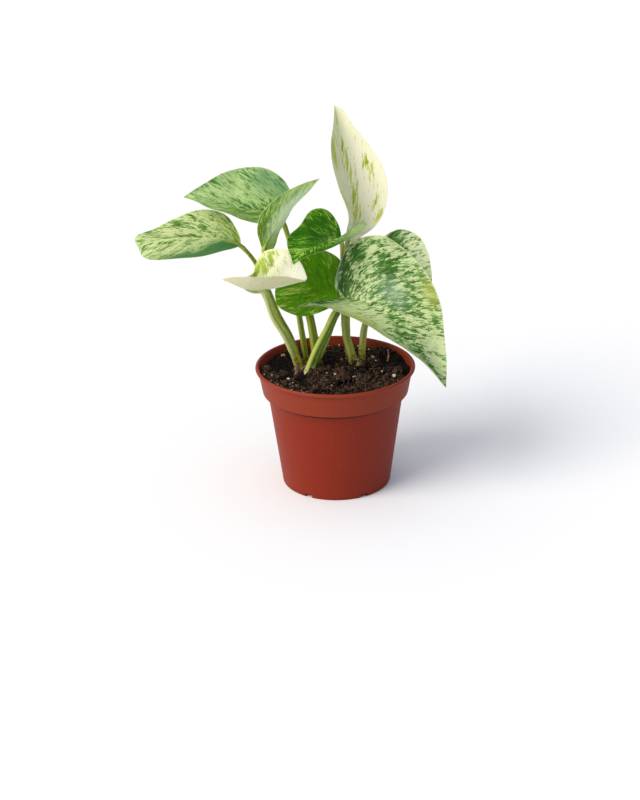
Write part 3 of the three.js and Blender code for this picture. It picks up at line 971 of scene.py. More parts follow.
@dataclass
class Pot:
    """The nursery pot: rolled rim, straight collar, ledge, tapered body and slotted foot.

    Radii are outer ones and heights are above the ground, unless a line below says otherwise.

    Attributes:
        collar_drop: how far under the rim the collar's straight side begins.
        foot_round: the radius of the rounding under the foot.
        wall: the wall's thickness.
        floor: the floor's thickness.
        slots: how many drain slots are cut across the foot.
        slot_inner_radius: where a slot begins, seen from the pot's axis.
        first_slot_angle: in degrees from +X towards +Y.
        segments: how many points each ring has.
        sharp: the angle between faces, in degrees, above which an edge is sharp.
    """

    height: float = 50.0
    rim_radius: float = 31.98
    bead_radius: float = 0.75
    collar_top_radius: float = 30.8
    collar_drop: float = 2.0
    collar_foot_radius: float = 29.3
    collar_foot: float = 39.8
    body_top_radius: float = 26.7
    body_top: float = 35.4
    foot_radius: float = 22.0
    foot_round: float = 0.5
    wall: float = 0.75
    floor: float = 1.2
    slots: int = 6
    slot_width: float = 3.2
    slot_height: float = 1.4
    slot_inner_radius: float = 15.5
    first_slot_angle: float = -61.0
    segments: int = 192
    sharp: float = 38.0
    finish: PlasticFinish = PlasticFinish()

    def profile(self) -> Array:
        """The pot's section: under the foot, up outside, over the rim's bead and down inside.

        Returns:
            The radius and height of each ring.
        """
        bead_turn = np.radians(np.linspace(-75, 165, 17))
        bead_centre = np.array([self.rim_radius - self.bead_radius, self.height - self.bead_radius])
        bead = bead_centre + self.bead_radius * np.stack([np.cos(bead_turn), np.sin(bead_turn)], -1)
        corner = np.radians(np.linspace(-90, 0, 5))
        turned = np.stack([np.cos(corner), np.sin(corner)], -1)
        foot = np.array([self.foot_radius - self.foot_round, self.foot_round]) + self.foot_round * turned
        share = np.linspace(0, 1, 24)[1:]
        side = foot[-1] + share[:, None] * (np.array([self.body_top_radius, self.body_top]) - foot[-1])
        ledge = np.array([
            [self.body_top_radius + 0.12, self.body_top + 1.0],
            [self.body_top_radius + 0.4, self.body_top + 2.1],
            [self.collar_foot_radius - 1.8, self.collar_foot - 1.3],
            [self.collar_foot_radius - 1.65, self.collar_foot - 0.6],
            [self.collar_foot_radius - 0.3, self.collar_foot - 0.5],
            [self.collar_foot_radius - 0.05, self.collar_foot - 0.32],
            [self.collar_foot_radius, self.collar_foot],
        ])
        collar_top = np.array([self.collar_top_radius, self.height - self.collar_drop])
        collar = ledge[-1] + np.linspace(0, 1, 8)[1:, None] * (collar_top - ledge[-1])
        inner = np.array([
            [self.collar_top_radius - self.wall, self.height - self.collar_drop],
            [self.collar_foot_radius - self.wall, self.collar_foot + 0.4],
            [self.body_top_radius - self.wall, self.body_top + 0.6],
            [self.foot_radius - self.wall, self.floor],
        ])
        under = np.array([[6.0, 0.0], [14.0, 0.0]])
        return np.vstack([under, foot, side, ledge, collar, bead, inner])

    def build(self) -> None:
        """Turns the profile about the Z axis, cuts the drain slots and dresses the pot."""
        profile = self.profile()
        angle = np.linspace(0, 2 * np.pi, self.segments, endpoint=False)
        ring = np.stack([np.cos(angle), np.sin(angle), np.zeros_like(angle)], -1)
        rings = profile[:, :1, None] * ring + profile[:, 1:, None] * UP
        piece = Shell(np.zeros(3), rings, np.array([0, 0, self.floor])).piece("nursery_pot")
        cutter = self.slot_cutter()
        cut = piece.modifiers.new("drain slots", "BOOLEAN")
        cut.operation = "DIFFERENCE"
        cut.object = cutter
        bake_modifiers(piece)
        bpy.data.objects.remove(cutter)
        piece.data.set_sharp_from_angle(angle=math.radians(self.sharp))
        dress(piece, self.finish.material(self.collar_foot), "pot_plastic", "pot")

    def slot_cutter(self) -> Piece:
        """All drain slots' boxes in one mesh, each turned to its angle.

        Returns:
            The mesh object.
        """
        length = self.foot_radius + 2 - self.slot_inner_radius
        half = self.slot_width / 2
        ends = ([0, length], [-half, half], [-self.slot_height, self.slot_height])
        x, y, z = np.meshgrid(*ends, indexing="ij")
        box = np.stack([x + self.slot_inner_radius, y, z], -1).reshape(8, 3)
        sides = np.array([
            [0, 1, 3, 2], [4, 6, 7, 5], [0, 4, 5, 1], [2, 3, 7, 6], [0, 2, 6, 4], [1, 5, 7, 3],
        ])
        turns = np.radians(self.first_slot_angle) + 2 * np.pi * np.arange(self.slots) / self.slots
        cos, sin = np.cos(turns), np.sin(turns)
        zero, one = np.zeros_like(cos), np.ones_like(cos)
        spin = np.stack([cos, -sin, zero, sin, cos, zero, zero, zero, one], -1).reshape(-1, 3, 3)
        places = np.einsum("nij,kj->nki", spin, box).reshape(-1, 3)
        faces = (sides[None] + 8 * np.arange(self.slots)[:, None, None]).reshape(-1, 4)
        return write_mesh("slot_cutter", places, [faces], {})


def bake_modifiers(piece: Piece) -> None:
    """Replaces a piece's mesh by what its modifiers make of it.

    Args:
        piece: the piece.
    """
    graph = bpy.context.evaluated_depsgraph_get()
    made = bpy.data.meshes.new_from_object(piece.evaluated_get(graph))
    piece.modifiers.clear()
    old = piece.data
    piece.data = made
    made.name = piece.name
    bpy.data.meshes.remove(old)


def bell(x: Array, y: Array, at_x: float, at_y: float, reach: float) -> Array:
    """A bell curve over the ground, 1 at its middle and 0.37 at its reach."""
    return np.exp(-((x - at_x) ** 2 + (y - at_y) ** 2) / reach**2)


@dataclass(frozen=True)
class PeatFinish:
    """Moist peat: near-black brown with redder and greyer crumbs.

    Attributes:
        dark: the darkest brown.
        brown: the lightest brown.
        red: the colour of redder patches.
        grey: the colour of the driest crumbs.
        glint: the colour of fine light specks.
        black: the colour of the painted shade at the bottom of the hollows.
    """

    dark: str = "#0d0705"
    brown: str = "#3b291f"
    red: str = "#472a1a"
    grey: str = "#7d6c60"
    glint: str = "#a08c7c"
    black: str = "#040302"

    def material(self, name: str, lift: float = 0.0) -> Material:
        """The peat's material.

        Args:
            name: the material's name.
            lift: how much lighter loose crumbs are than the bed.

        Returns:
            The material.
        """
        shade = Shade(name)
        place = shade.place()
        # The shade value is a random tone, lowered in the hollows as painted shade.
        light = shade.read("shade")
        grain = shade.noise(place, 900, 5, 0.7)
        tone = shade.sum(grain, shade.times(light, 0.4 + lift))
        base = shade.over(colour(self.dark), shade.step(tone, 0.44, 0.74), self.brown)
        base = shade.over(base, shade.step(shade.noise(place, 420, 3), 0.58, 0.72), self.red, 0.5)
        base = shade.over(base, shade.step(shade.noise(place, 3600, 2), 0.6, 0.68), self.glint, 0.75)
        dry = shade.times(shade.step(light, 0.8, 0.9), shade.step(grain, 0.4, 0.55))
        base = shade.over(base, dry, self.grey, 0.8)
        # Painted shade: near-black where the shade value is lowest, at the bottom of the hollows.
        base = shade.over(base, shade.step(light, -0.2, -0.8), self.black, 0.85)
        fine = shade.noise(place, 3200, 4, 0.7)
        normal = shade.bump(fine, 0.25, shade.bump(grain, 0.5))
        return shade.close(base, 0.9, normal, Specular_IOR_Level=0.12)


@dataclass
class Soil:
    """The root ball: a lumpy top, and sides that follow the pot's inside.

    Attributes:
        pot: what it fills.
        edge_radius: the top's radius.
        edge_height: the top's height at its edge, before its lumps.
        top_height: the same in the middle.
        mound_radius: how far from the middle that height reaches.
        gap: between the soil and the pot.
        lumps: how far the top rises and sinks.
        rings: how many rings the top has.
        around: how many points each ring has.
        heaps: the place, reach and rise of each heap.
        holes: the place and reach of each hollow.
        hole_depth: how far the hollows sink.
        hole_shade: how much painted shade darkens them.
        finish: its colours.
    """

    pot: Pot
    edge_radius: float = 29.4
    edge_height: float = 46.2
    top_height: float = 47.2
    mound_radius: float = 14.0
    gap: float = 0.45
    lumps: float = 1.1
    rings: int = 78
    around: int = 330
    heaps: tuple[tuple[float, float, float, float], ...] = (
        (-22, 17, 7, 2.8), (-29, 3, 6.5, 3.2), (-26, -11, 5, 1.6), (20, 20, 6, 2.0),
        (27, 13, 6, 3.4), (29.5, 1, 6, 3.2), (29, -9, 4, 1.2), (2, -13, 9, 0.9),
        (-20, -16, 7, 0.8), (-12, -2.5, 4, 1.7),
    )
    holes: tuple[tuple[float, float, float], ...] = (
        (-25, 7, 5), (0, 14, 5), (14.5, 1, 5.5), (-18, -2.5, 4),
    )
    hole_depth: float = 1.4
    hole_shade: float = 1.4
    finish: PeatFinish = PeatFinish()

    def height(self, x: Array, y: Array) -> Array:
        """The top's height: a flat mound with noise of three sizes, heaps and hollows on it.

        Args:
            x: places across.
            y: places from front to back.

        Returns:
            One height for each place.
        """
        radius = np.hypot(x, y)
        share = ((radius - self.mound_radius) / (self.edge_radius - self.mound_radius)).clip(0, 1)
        level = self.top_height + share * (self.edge_height - self.top_height)
        place = np.stack([x, y, np.zeros_like(x)], -1)
        broad = lattice_noise(place, 7.0, 3) * 0.8
        clods = np.abs(lattice_noise(place, 2.4, 5)) * 1.1 - 0.35
        crumbs = np.abs(rough_noise(place, 1.0, 2, 8)) * 0.6
        fade = smooth(radius, self.edge_radius + 1, self.edge_radius - 2)
        lumps = self.lumps * (broad + clods + crumbs - 0.25) * fade
        heaped = sum(rise * bell(x, y, *heap) for *heap, rise in self.heaps)
        return level + lumps + heaped - self.hole_depth * self.hollow(x, y)

    def hollow(self, x: Array, y: Array) -> Array:
        """How much of a dark hollow a place is, by the given holes and by chance.

        Args:
            x: places across.
            y: places from front to back.

        Returns:
            One share from 0 to 1 for each place.
        """
        chance = lattice_noise(np.stack([x, y, np.zeros_like(x)], -1), 9.0, 12)
        made = sum(bell(x, y, *hole) for hole in self.holes)
        return (made + 1.2 * smooth(chance, 0.12, 0.45)).clip(0, 1)

    def near_grains(self, x: Array, y: Array) -> Array:
        """Bell curves round the loose grains, which the clods leave in sight.

        Args:
            x: places across.
            y: places from front to back.

        Returns:
            About 1 on a grain and 0 away from all of them.
        """
        boxes = [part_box(node) for node in PERLITE]
        middles = [(np.array(low) + np.array(high))[:2] / 2 / MM for low, high in boxes]
        return sum(bell(x, y, *middle, 1.9) for middle in middles)

    def build(self) -> None:
        """Builds the closed root ball and dresses it."""
        pot = self.pot
        angle = np.linspace(0, 2 * np.pi, self.around, endpoint=False)
        ring = np.stack([np.cos(angle), np.sin(angle)], -1)
        inner = pot.wall + self.gap
        floor = pot.floor + self.gap
        low = np.array([
            [8.0, floor],
            [pot.foot_radius - inner, floor],
            [pot.body_top_radius - inner, pot.body_top + 0.6],
            [pot.collar_foot_radius - inner, pot.collar_foot + 0.4],
        ])
        radii = np.linspace(self.edge_radius, 0, self.rings, endpoint=False)
        places = np.concatenate([ring * 25, np.zeros((self.around, 1))], 1)
        wobble = 0.18 * rough_noise(places, 3.0, 2, 4)
        flat = radii[:, None, None] * ring[None] * (1 + wobble[None, :, None] * 0.02)
        top = np.concatenate([flat, self.height(flat[..., 0], flat[..., 1])[..., None]], -1)
        sides = np.concatenate([
            low[:, :1, None] * ring[None],
            np.broadcast_to(low[:, 1:, None], (4, self.around, 1)),
        ], -1)
        rings = np.concatenate([sides, top])
        middle = np.array([0, 0, float(self.height(np.zeros(1), np.zeros(1))[0])])
        # A random tone for each point, lowered in the hollows as painted shade.
        shade = lattice_noise(rings, 1.6, 9) - self.hole_shade * self.hollow(rings[..., 0], rings[..., 1])
        piece = Shell(np.array([0, 0, floor]), rings, middle, {"shade": shade}).piece("peat_bed")
        dress(piece, self.finish.material("peat bed"), "peat", "soil")


def lump_template(rounds: int) -> tuple[Array, Array]:
    """The corners and triangles of a ball of radius 1, facing outwards.

    Args:
        rounds: how often each triangle of an icosahedron is split into four.

    Returns:
        The corners, and three corner numbers for each triangle.
    """
    golden = (1 + math.sqrt(5)) / 2
    base = np.array([(0, a, b) for a in (-1, 1) for b in (-golden, golden)], float)
    corners = unit(np.vstack([np.roll(base, shift, axis=1) for shift in range(3)]))
    reach = np.linalg.norm(corners[:, None] - corners[None], axis=-1)
    near = (reach < 1.2) & (reach > 0.1)
    triples = np.argwhere(near[:, :, None] & near[:, None, :] & near[None, :, :])
    triples = triples[(triples[:, 0] < triples[:, 1]) & (triples[:, 1] < triples[:, 2])]
    a, b, c = (corners[triples[:, k]] for k in range(3))
    turned = np.einsum("ij,ij->i", a, np.cross(b, c)) < 0
    triples[turned] = triples[turned][:, ::-1]
    for _ in range(rounds):
        a, b, c = triples.T
        pairs = np.sort(np.vstack([np.stack(pair, -1) for pair in ((a, b), (b, c), (c, a))]), axis=1)
        edges, which = np.unique(pairs, axis=0, return_inverse=True)
        ab, bc, ca = which.reshape(3, -1) + len(corners)
        corners = np.vstack([corners, unit(corners[edges].sum(1))])
        split = ((a, ab, ca), (ab, b, bc), (ca, bc, c), (ab, bc, ca))
        triples = np.vstack([np.stack(triple, -1) for triple in split])
    return corners, triples


@dataclass
class Scatter:
    """Many small lumps strewn over the soil, in one mesh.

    Attributes:
        name: the piece's name.
        soil: what they lie on.
        count: how many lumps.
        radius: the smallest and largest mean radius.
        lean: how strongly small lumps outnumber large ones.
        sink: how deep they sit, as a share of their radius.
        seed: the random draw's seed.
        rounds: how often a lump's triangles are split.
        tone: the lightest lump's tone, from 0 to 1.
        edge_gap: how far the lumps keep from the soil's edge.
        tries: how many places each lump has to choose from.
        choosy: how strongly it keeps out of the hollows.
        shy: how strongly it keeps off the loose grains.
        ragged: how far a lump's corners stray from its ball.
        dim: how much painted shade darkens a lump in a hollow.
    """

    name: str
    soil: Soil
    count: int
    radius: tuple[float, float]
    lean: float
    sink: float
    seed: int
    rounds: int = 0
    tone: float = 1.0
    edge_gap: float = 0.4
    tries: int = 4
    choosy: float = 2.5
    shy: float = 4.0
    ragged: float = 0.22
    dim: float = 1.6

    def build(self, material: Material, slot: str) -> None:
        """Draws places, sizes and turns, and writes all lumps as one mesh.

        Args:
            material: the lumps' material.
            slot: the name of the lumps' material slot.
        """
        draw = np.random.default_rng(self.seed)
        radius = self.radius[0] + (self.radius[1] - self.radius[0]) * draw.random(self.count) ** self.lean
        room = self.soil.edge_radius - self.edge_gap - radius
        reach = room * np.sqrt(draw.random((self.tries, self.count)))
        angle = draw.random((self.tries, self.count)) * 2 * np.pi
        places = reach * np.stack([np.cos(angle), np.sin(angle)])
        avoid = self.soil.hollow(*places) * self.choosy + self.soil.near_grains(*places) * self.shy
        best = (avoid + draw.random((self.tries, self.count))).argmin(0)
        x, y = places[:, best, np.arange(self.count)]
        z = self.soil.height(x, y) + radius * (1 - 2 * self.sink)
        corners, triangles = lump_template(self.rounds)
        spin = np.linalg.qr(draw.normal(size=(self.count, 3, 3)))[0]
        spin = spin * np.sign(np.linalg.det(spin))[:, None, None]
        squash = 0.6 + 0.6 * draw.random((self.count, 1, 3))
        jag = 1 + self.ragged * draw.normal(size=(self.count, len(corners), 1)).clip(-1.5, 1.5)
        local = np.einsum("nij,nkj->nki", spin, corners[None] * squash * jag)
        places = local * radius[:, None, None] + np.stack([x, y, z], -1)[:, None]
        faces = (triangles[None] + len(corners) * np.arange(self.count)[:, None, None]).reshape(-1, 3)
        # A random tone for each lump, lowered in a hollow as painted shade.
        tones = draw.random(self.count) * self.tone - self.dim * self.soil.hollow(x, y)
        shade = np.repeat(tones, len(corners))
        piece = write_mesh(self.name, places.reshape(-1, 3), [faces], {"shade": shade})
        dress(piece, material, slot)


@dataclass(frozen=True)
class FibreFinish:
    """Dry peat fibres in browns, with a few orange ones.

    Attributes:
        dark: the darkest brown.
        brown: the lightest brown.
        orange: the colour of the few light fibres.
        soiled: the colour of blotches on all of them.
    """

    dark: str = "#2b1c12"
    brown: str = "#6b4a2c"
    orange: str = "#a5683a"
    soiled: str = "#3a2818"

    def material(self) -> Material:
        """The material, which reads each fibre's own tone.

        Returns:
            The material.
        """
        shade = Shade("peat fibres")
        tone = shade.read("shade")
        base = shade.over(colour(self.dark), shade.step(tone, 0.2, 0.75), self.brown)
        base = shade.over(base, shade.step(tone, 0.8, 0.95), self.orange)
        base = shade.over(base, shade.noise(shade.place(), 1500, 3), self.soiled, 0.5)
        return shade.close(base, 0.8)


@dataclass
class Fibres:
    """Peat fibres and fine roots: thin bent threads that lie on the soil.

    Attributes:
        soil: what they lie on.
        count: how many threads.
        length: the shortest and longest.
        radius: a thread's mean radius.
        edge_gap: how far the threads keep from the soil's edge.
        arch: how far a thread's middle rises at most.
        lift: how far its ends lie above the soil.
        steps: how many points a thread has along it.
        seed: the random draw's seed.
        finish: their colours.
    """

    soil: Soil
    count: int = 260
    length: tuple[float, float] = (1.5, 6.0)
    radius: float = 0.09
    edge_gap: float = 3.2
    arch: float = 1.6
    lift: float = 0.35
    steps: int = 7
    seed: int = 21
    finish: FibreFinish = FibreFinish()

    def build(self) -> None:
        """Writes all threads as one mesh: each follows an arc, with a square section."""
        draw = np.random.default_rng(self.seed)
        share = np.linspace(-0.5, 0.5, self.steps)
        length = self.length[0] + (self.length[1] - self.length[0]) * draw.random(self.count) ** 2
        reach = (self.soil.edge_radius - self.edge_gap) * np.sqrt(draw.random(self.count))
        where = draw.random(self.count) * 2 * np.pi
        heading = draw.random(self.count) * 2 * np.pi
        bend = draw.normal(size=self.count) * 0.8
        turn = heading[:, None] + bend[:, None] * share
        step = length[:, None] / self.steps
        x = reach[:, None] * np.cos(where)[:, None] + np.cumsum(np.cos(turn) * step, 1)
        y = reach[:, None] * np.sin(where)[:, None] + np.cumsum(np.sin(turn) * step, 1)
        arch = draw.random(self.count)[:, None] * self.arch * (0.25 - share**2) * 4
        tilt = draw.normal(size=self.count)[:, None] * 0.5 * share
        z = self.soil.height(x, y).mean(1, keepdims=True) + self.lift + arch + tilt
        centre = np.stack([x, y, z], -1)
        tangent = unit(np.gradient(centre, axis=1))
        side = unit(np.cross(tangent, UP))
        up = np.cross(side, tangent)
        thick = self.radius * (0.5 + draw.random(self.count))[:, None, None]
        taper = (1 - 0.6 * np.abs(share * 2) ** 3)[None, :, None]
        angle = np.arange(4) * np.pi / 2
        around = np.cos(angle)[:, None] * side[:, :, None] + np.sin(angle)[:, None] * up[:, :, None]
        places = centre[:, :, None] + around * (thick * taper)[..., None]
        index = np.arange(self.count * self.steps * 4).reshape(self.count, self.steps, 4)
        beside = np.roll(index, -1, axis=2)
        quads = np.stack([index[:, :-1], index[:, 1:], beside[:, 1:], beside[:, :-1]], -1).reshape(-1, 4)
        ends = np.vstack([index[:, 0], index[:, -1, ::-1]])
        shade = np.repeat(draw.random(self.count), self.steps * 4)
        piece = write_mesh("peat_fibres", places.reshape(-1, 3), [quads, ends], {"shade": shade})
        dress(piece, self.finish.material(), "peat")


@dataclass(frozen=True)
class GrainFinish:
    """A porous mineral or woody grain.

    Attributes:
        light: the lighter blotches' colour.
        dark: the colour of the darker blotches and the pits.
        pore_size: how far apart the pits are.
    """

    light: str
    dark: str
    pore_size: float = 0.35

    def material(self, name: str) -> Material:
        """Two tones in soft blotches, with pits.

        Args:
            name: the material's name.

        Returns:
            The material.
        """
        shade = Shade(name)
        place = shade.place()
        blotch = shade.noise(place, 1 / MM / self.pore_size / 2, 3, 0.6)
        pits = shade.cells(place, 1 / MM / self.pore_size)
        base = shade.over(colour(self.dark), shade.step(blotch, 0.38, 0.62), self.light)
        base = shade.over(base, shade.step(pits, 0.3, 0.05), self.dark, 0.5)
        return shade.close(base, 0.85, shade.bump(pits, 0.12, shade.bump(blotch, 0.1)))


@dataclass
class Grain:
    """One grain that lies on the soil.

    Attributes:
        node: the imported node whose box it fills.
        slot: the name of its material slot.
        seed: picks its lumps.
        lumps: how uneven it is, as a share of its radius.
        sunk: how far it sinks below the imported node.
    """

    node: str
    slot: str
    seed: int
    lumps: float = 0.22
    sunk: float = 0.35

    def build(self, material: Material, soil: Soil) -> None:
        """A ball with noise on it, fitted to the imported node's box and set on the soil.

        Args:
            material: the grain's material.
            soil: what it lies on.
        """
        low, high = (np.array(corner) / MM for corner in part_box(self.node))
        centre, half = (low + high) / 2, (high - low) / 2
        middle = ball(around=28, rings=16)
        whole = np.concatenate([UP[None], middle.reshape(-1, 3), -UP[None]])
        bumps = 1 + self.lumps * rough_noise(whole * 2 + self.seed * 5, 1.2, 3, self.seed)
        ground = float(soil.height(centre[:1], centre[1:2])[0])
        centre[2] = max(centre[2] - self.sunk, ground + 0.2 * half[2])
        whole = whole * (bumps / bumps.max())[:, None] * half + centre
        rings = whole[1:-1].reshape(middle.shape)
        piece = Shell(whole[0], rings, whole[-1]).piece(f"grain_{self.node}")
        dress(piece, material, self.slot, self.node)


@dataclass(frozen=True)
class BarkFinish:
    """Scabbed greenish bark of a crown.

    Attributes:
        green: the skin's colour.
        brown: the scabs' colour.
        tan: the colour of dry flecks.
    """

    green: str = "#7d7c3a"
    brown: str = "#4d3a25"
    tan: str = "#a08a58"

    def material(self, name: str) -> Material:
        """Green skin under broken brown scabs.

        Args:
            name: the material's name.

        Returns:
            The material.
        """
        shade = Shade(name)
        place = shade.place()
        plates = shade.noise(shade.stretch(place, (700, 700, 1500)), 1.0, 4, 0.65)
        base = shade.over(colour(self.green), shade.step(plates, 0.42, 0.56), self.brown)
        base = shade.over(base, shade.step(shade.noise(place, 1700, 3), 0.58, 0.68), self.tan, 0.6)
        return shade.close(base, 0.75, shade.bump(plates, 0.5), Specular_IOR_Level=0.3)


@dataclass
class Crown:
    """A short growing point that carries several stalks.

    Attributes:
        node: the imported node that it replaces.
        centre: its middle.
        half: its half sizes.
        seed: picks its lumps.
        lumps: how uneven it is, as a share of its radius.
        scars: how far its ring scars stand out, as such a share.
        finish: its colours.
    """

    node: str
    centre: Point
    half: Point
    seed: int
    lumps: float = 0.16
    scars: float = 0.035
    finish: BarkFinish = BarkFinish()

    def build(self) -> None:
        """An egg with ring scars and lumps: its radius varies with height and with noise."""
        round_ball = ball(around=72, rings=52)
        lumps = self.lumps * rough_noise(round_ball * 2, 0.9, 3, self.seed)
        scars = self.scars * np.abs(np.sin(9 * round_ball[..., 2] + 1.5 * round_ball[..., 0]))
        scale = 0.9 + lumps + scars
        rings = round_ball * scale[..., None] * np.array(self.half) + np.array(self.centre)
        top, bottom = (np.array(self.centre) + sign * 0.9 * self.half[2] * UP for sign in (1, -1))
        piece = Shell(top, rings, bottom).piece(f"bark_{self.node}")
        dress(piece, self.finish.material(f"bark {self.node}"), "crown_bark", self.node)


@dataclass
class Splinter:
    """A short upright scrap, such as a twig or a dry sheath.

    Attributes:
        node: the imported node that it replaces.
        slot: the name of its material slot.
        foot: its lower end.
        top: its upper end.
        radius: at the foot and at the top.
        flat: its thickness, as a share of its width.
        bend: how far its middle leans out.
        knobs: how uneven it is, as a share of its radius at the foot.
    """

    node: str
    slot: str
    foot: Point
    top: Point
    radius: tuple[float, float]
    flat: float
    bend: Point = (0.25, 0.1, 0)
    knobs: float = 0.16

    def build(self, material: Material) -> None:
        """A tapered rod with a flattened, noisy section, which leans out at its middle.

        Args:
            material: the scrap's material.
        """
        shares = np.linspace(0, 1, 26)
        foot, top = np.array(self.foot), np.array(self.top)
        middle = foot * 0.5 + top * 0.5 + np.array(self.bend)
        centre = curve_places([self.foot, tuple(middle), self.top], shares)
        angle = np.linspace(0, 2 * np.pi, 16, endpoint=False)
        radius = np.interp(shares, (0, 1), self.radius)[:, None]
        level = np.zeros((len(shares), len(angle)))
        section = [radius * np.cos(angle), radius * np.sin(angle) * self.flat, level]
        rings = centre[:, None] + np.stack(section, -1)
        rings[..., :2] += self.knobs * self.radius[0] * rough_noise(rings, 0.9, 2, 6)[..., None]
        piece = Shell(centre[0], rings[1:-1], centre[-1]).piece(f"scrap_{self.node}")
        dress(piece, material, self.slot, self.node)


FAR_LEFT = Leaf(
    name="far_left",
    slot="leaf_flecked",
    rib=[(-36, 3, 99.5), (-42, 2.5, 101.5), (-50, 1.5, 102.5), (-59.5, 0, 103.5),
         (-69, -1, 102.5), (-75, -1, 100.8), (-75.5, 1.5, 98)],
    left=[(-38, 0, 99.3), (-43.5, -4, 99), (-51.5, -8, 98.5), (-62, -9.5, 98),
          (-70.5, -8, 97.5), (-73.5, -5, 97.5)],
    right=[(-36.5, 6, 101.5), (-38.5, 9, 105), (-42, 11.5, 109), (-47.5, 12, 111),
           (-54, 11.5, 111), (-62, 10, 108.5), (-70, 7.5, 105), (-77.5, 4.5, 102.5)],
    bulge=(0.8, 1.0),
    finish=LeafFinish(
        deep="#244a10", green="#487626", middle="#7a9c48", pale="#a3b971", cream="#bccb8e",
        cover=0.458, core=0.03, fleck=(0.45, 1.15), patch=(2.6, 5.0), patchy=0.35, seed=1.0,
        plain="#3c7038", rib="#b4c878", rib_share=0.85, yellow="#a9c04c",
    ),
    spots={
        # Painted shade: the plain spots lay an even dark teal over the left half near its base, where it
        # turns down into shade.
        Tint.PLAIN: [(0.22, -0.6, 0.17, 0.45, 3.0), (0.5, -0.95, 0.22, 0.25, 1.2)],
        Tint.FLECKS: [
            (0.12, 0.5, 0.06, 0.5, -0.4), (0.45, 0.45, 0.04, 0.16, -0.5),
            (0.6, 0.75, 0.04, 0.14, -0.5), (0.66, 0.14, 0.22, 0.07, -0.45),
            (0.92, 0.0, 0.14, 1.0, -0.12),
        ],
        Tint.YELLOW: [(0.15, 0.45, 0.14, 0.6, 0.5)],
    },
)


UPPER_LEFT = Leaf(
    name="upper_left",
    slot="leaf_streaked",
    rib=[(-20, 14, 106.5), (-26.5, 13, 109.5), (-36, 11, 111.5), (-45, 9, 115),
         (-52, 8, 117), (-58, 8, 117.5)],
    left=[(-20.5, 11, 105), (-24.5, 7, 105.5), (-29.5, 3.5, 108), (-36, 1, 110.5),
          (-42, 2, 113), (-48.5, 4, 114.5), (-53.5, 6, 116.5)],
    right=[(-18, 16, 108), (-16, 18, 113), (-18.5, 19.5, 119.5), (-22, 20, 123),
           (-27, 20, 125.5), (-32.5, 19.5, 126), (-38, 18.5, 125.5), (-43.5, 16, 124.5),
           (-49, 13.5, 122), (-53.5, 10.5, 120)],
    bulge=(1.0, 1.5),
    finish=LeafFinish(
        deep="#2a5a12", green="#467c28", middle="#6a9c48", pale="#98bc72", cream="#b9d28c",
        cover=0.49, core=0.06, fleck=(0.5, 1.7), patch=(4.0, 6.0), patchy=0.28, seed=2.0,
        plain="#65946a", yellow="#9cc044", rim="#b4c890", rim_share=0.4,
    ),
    spots={
        # Painted sheen: the plain spots lay an even grey-green over the right half, towards the base.
        Tint.PLAIN: [
            (0.2, 0.85, 0.2, 0.4, 0.7), (0.12, 0.4, 0.12, 0.4, 0.5), (0.42, 0.7, 0.08, 0.3, 0.5),
        ],
        Tint.FLECKS: [
            (0.6, 0.5, 0.25, 0.45, 0.25), (0.4, -0.1, 0.35, 0.3, -0.15), (0.9, 0.0, 0.15, 1.0, 0.1),
        ],
        Tint.YELLOW: [(0.35, -0.45, 0.35, 0.5, 0.35)],
        Tint.DEEP: [(0.35, -0.5, 0.35, 0.5, 1.0)],
    },
    sweep=(0.55, 0.55),
)


FOLDED = Leaf(
    name="folded",
    slot="leaf_flecked",
    rib=[(-27.5, 4.5, 96.1), (-26, 4.2, 99.4), (-24.2, 4, 102.5), (-20.3, 4.3, 108.5),
         (-16.1, 6, 113.7), (-9.2, 7.3, 120.2), (-4.9, 7, 124.5)],
    left=[(-28.5, 3.5, 99.5), (-29.5, 0, 105.5), (-28.5, -2.5, 111), (-26.5, -3, 115),
          (-21.5, -1, 119.5), (-16.5, 2, 121.5), (-10.5, 5, 123.5)],
    right=[(-25.2, 5.6, 96), (-23.6, 6.6, 96.6), (-22.5, 7.2, 98.4), (-21.8, 7.2, 101.1),
           (-20.8, 7.2, 103.7), (-19.1, 7.6, 106.6), (-17.4, 8.4, 109.4), (-15.6, 9.2, 112.1),
           (-12.9, 10, 115), (-9.5, 9.8, 118.6), (-6.7, 8.6, 122)],
    bulge=(0.8, 0.2),
    finish=LeafFinish(
        deep="#3c6e08", green="#5e9414", middle="#9cc83a", pale="#b6d850", cream="#cee47c",
        cover=0.485, core=0.05, fleck=(0.5, 1.6), patch=(2.2, 4.5), patchy=0.3, seed=3.0,
        plain="#e0f4d0", yellow="#a2c83e", rib="#d0e0a4", rib_share=0.9, rib_width=0.3,
        rim="#cfe2aa", rim_share=0.9, gloss=0.12,
    ),
    spots={
        Tint.YELLOW: [(0.3, -0.8, 0.3, 0.5, 0.3), (0.12, 0.5, 0.2, 0.7, 0.8)],
        Tint.FLECKS: [(0.28, -0.7, 0.24, 0.35, -0.35), (0.12, 0.5, 0.2, 0.6, -0.6)],
        Tint.DEEP: [(0.28, -0.6, 0.25, 0.5, 0.9)],
        # The plain spots lay a pale colour; over the right half it is painted sheen and light.
        Tint.PLAIN: [
            (0.55, -0.15, 0.25, 0.2, 0.35), (0.85, -0.3, 0.25, 0.8, 0.3),
            (0.6, 0.5, 0.35, 0.7, 0.85),
        ],
    },
)


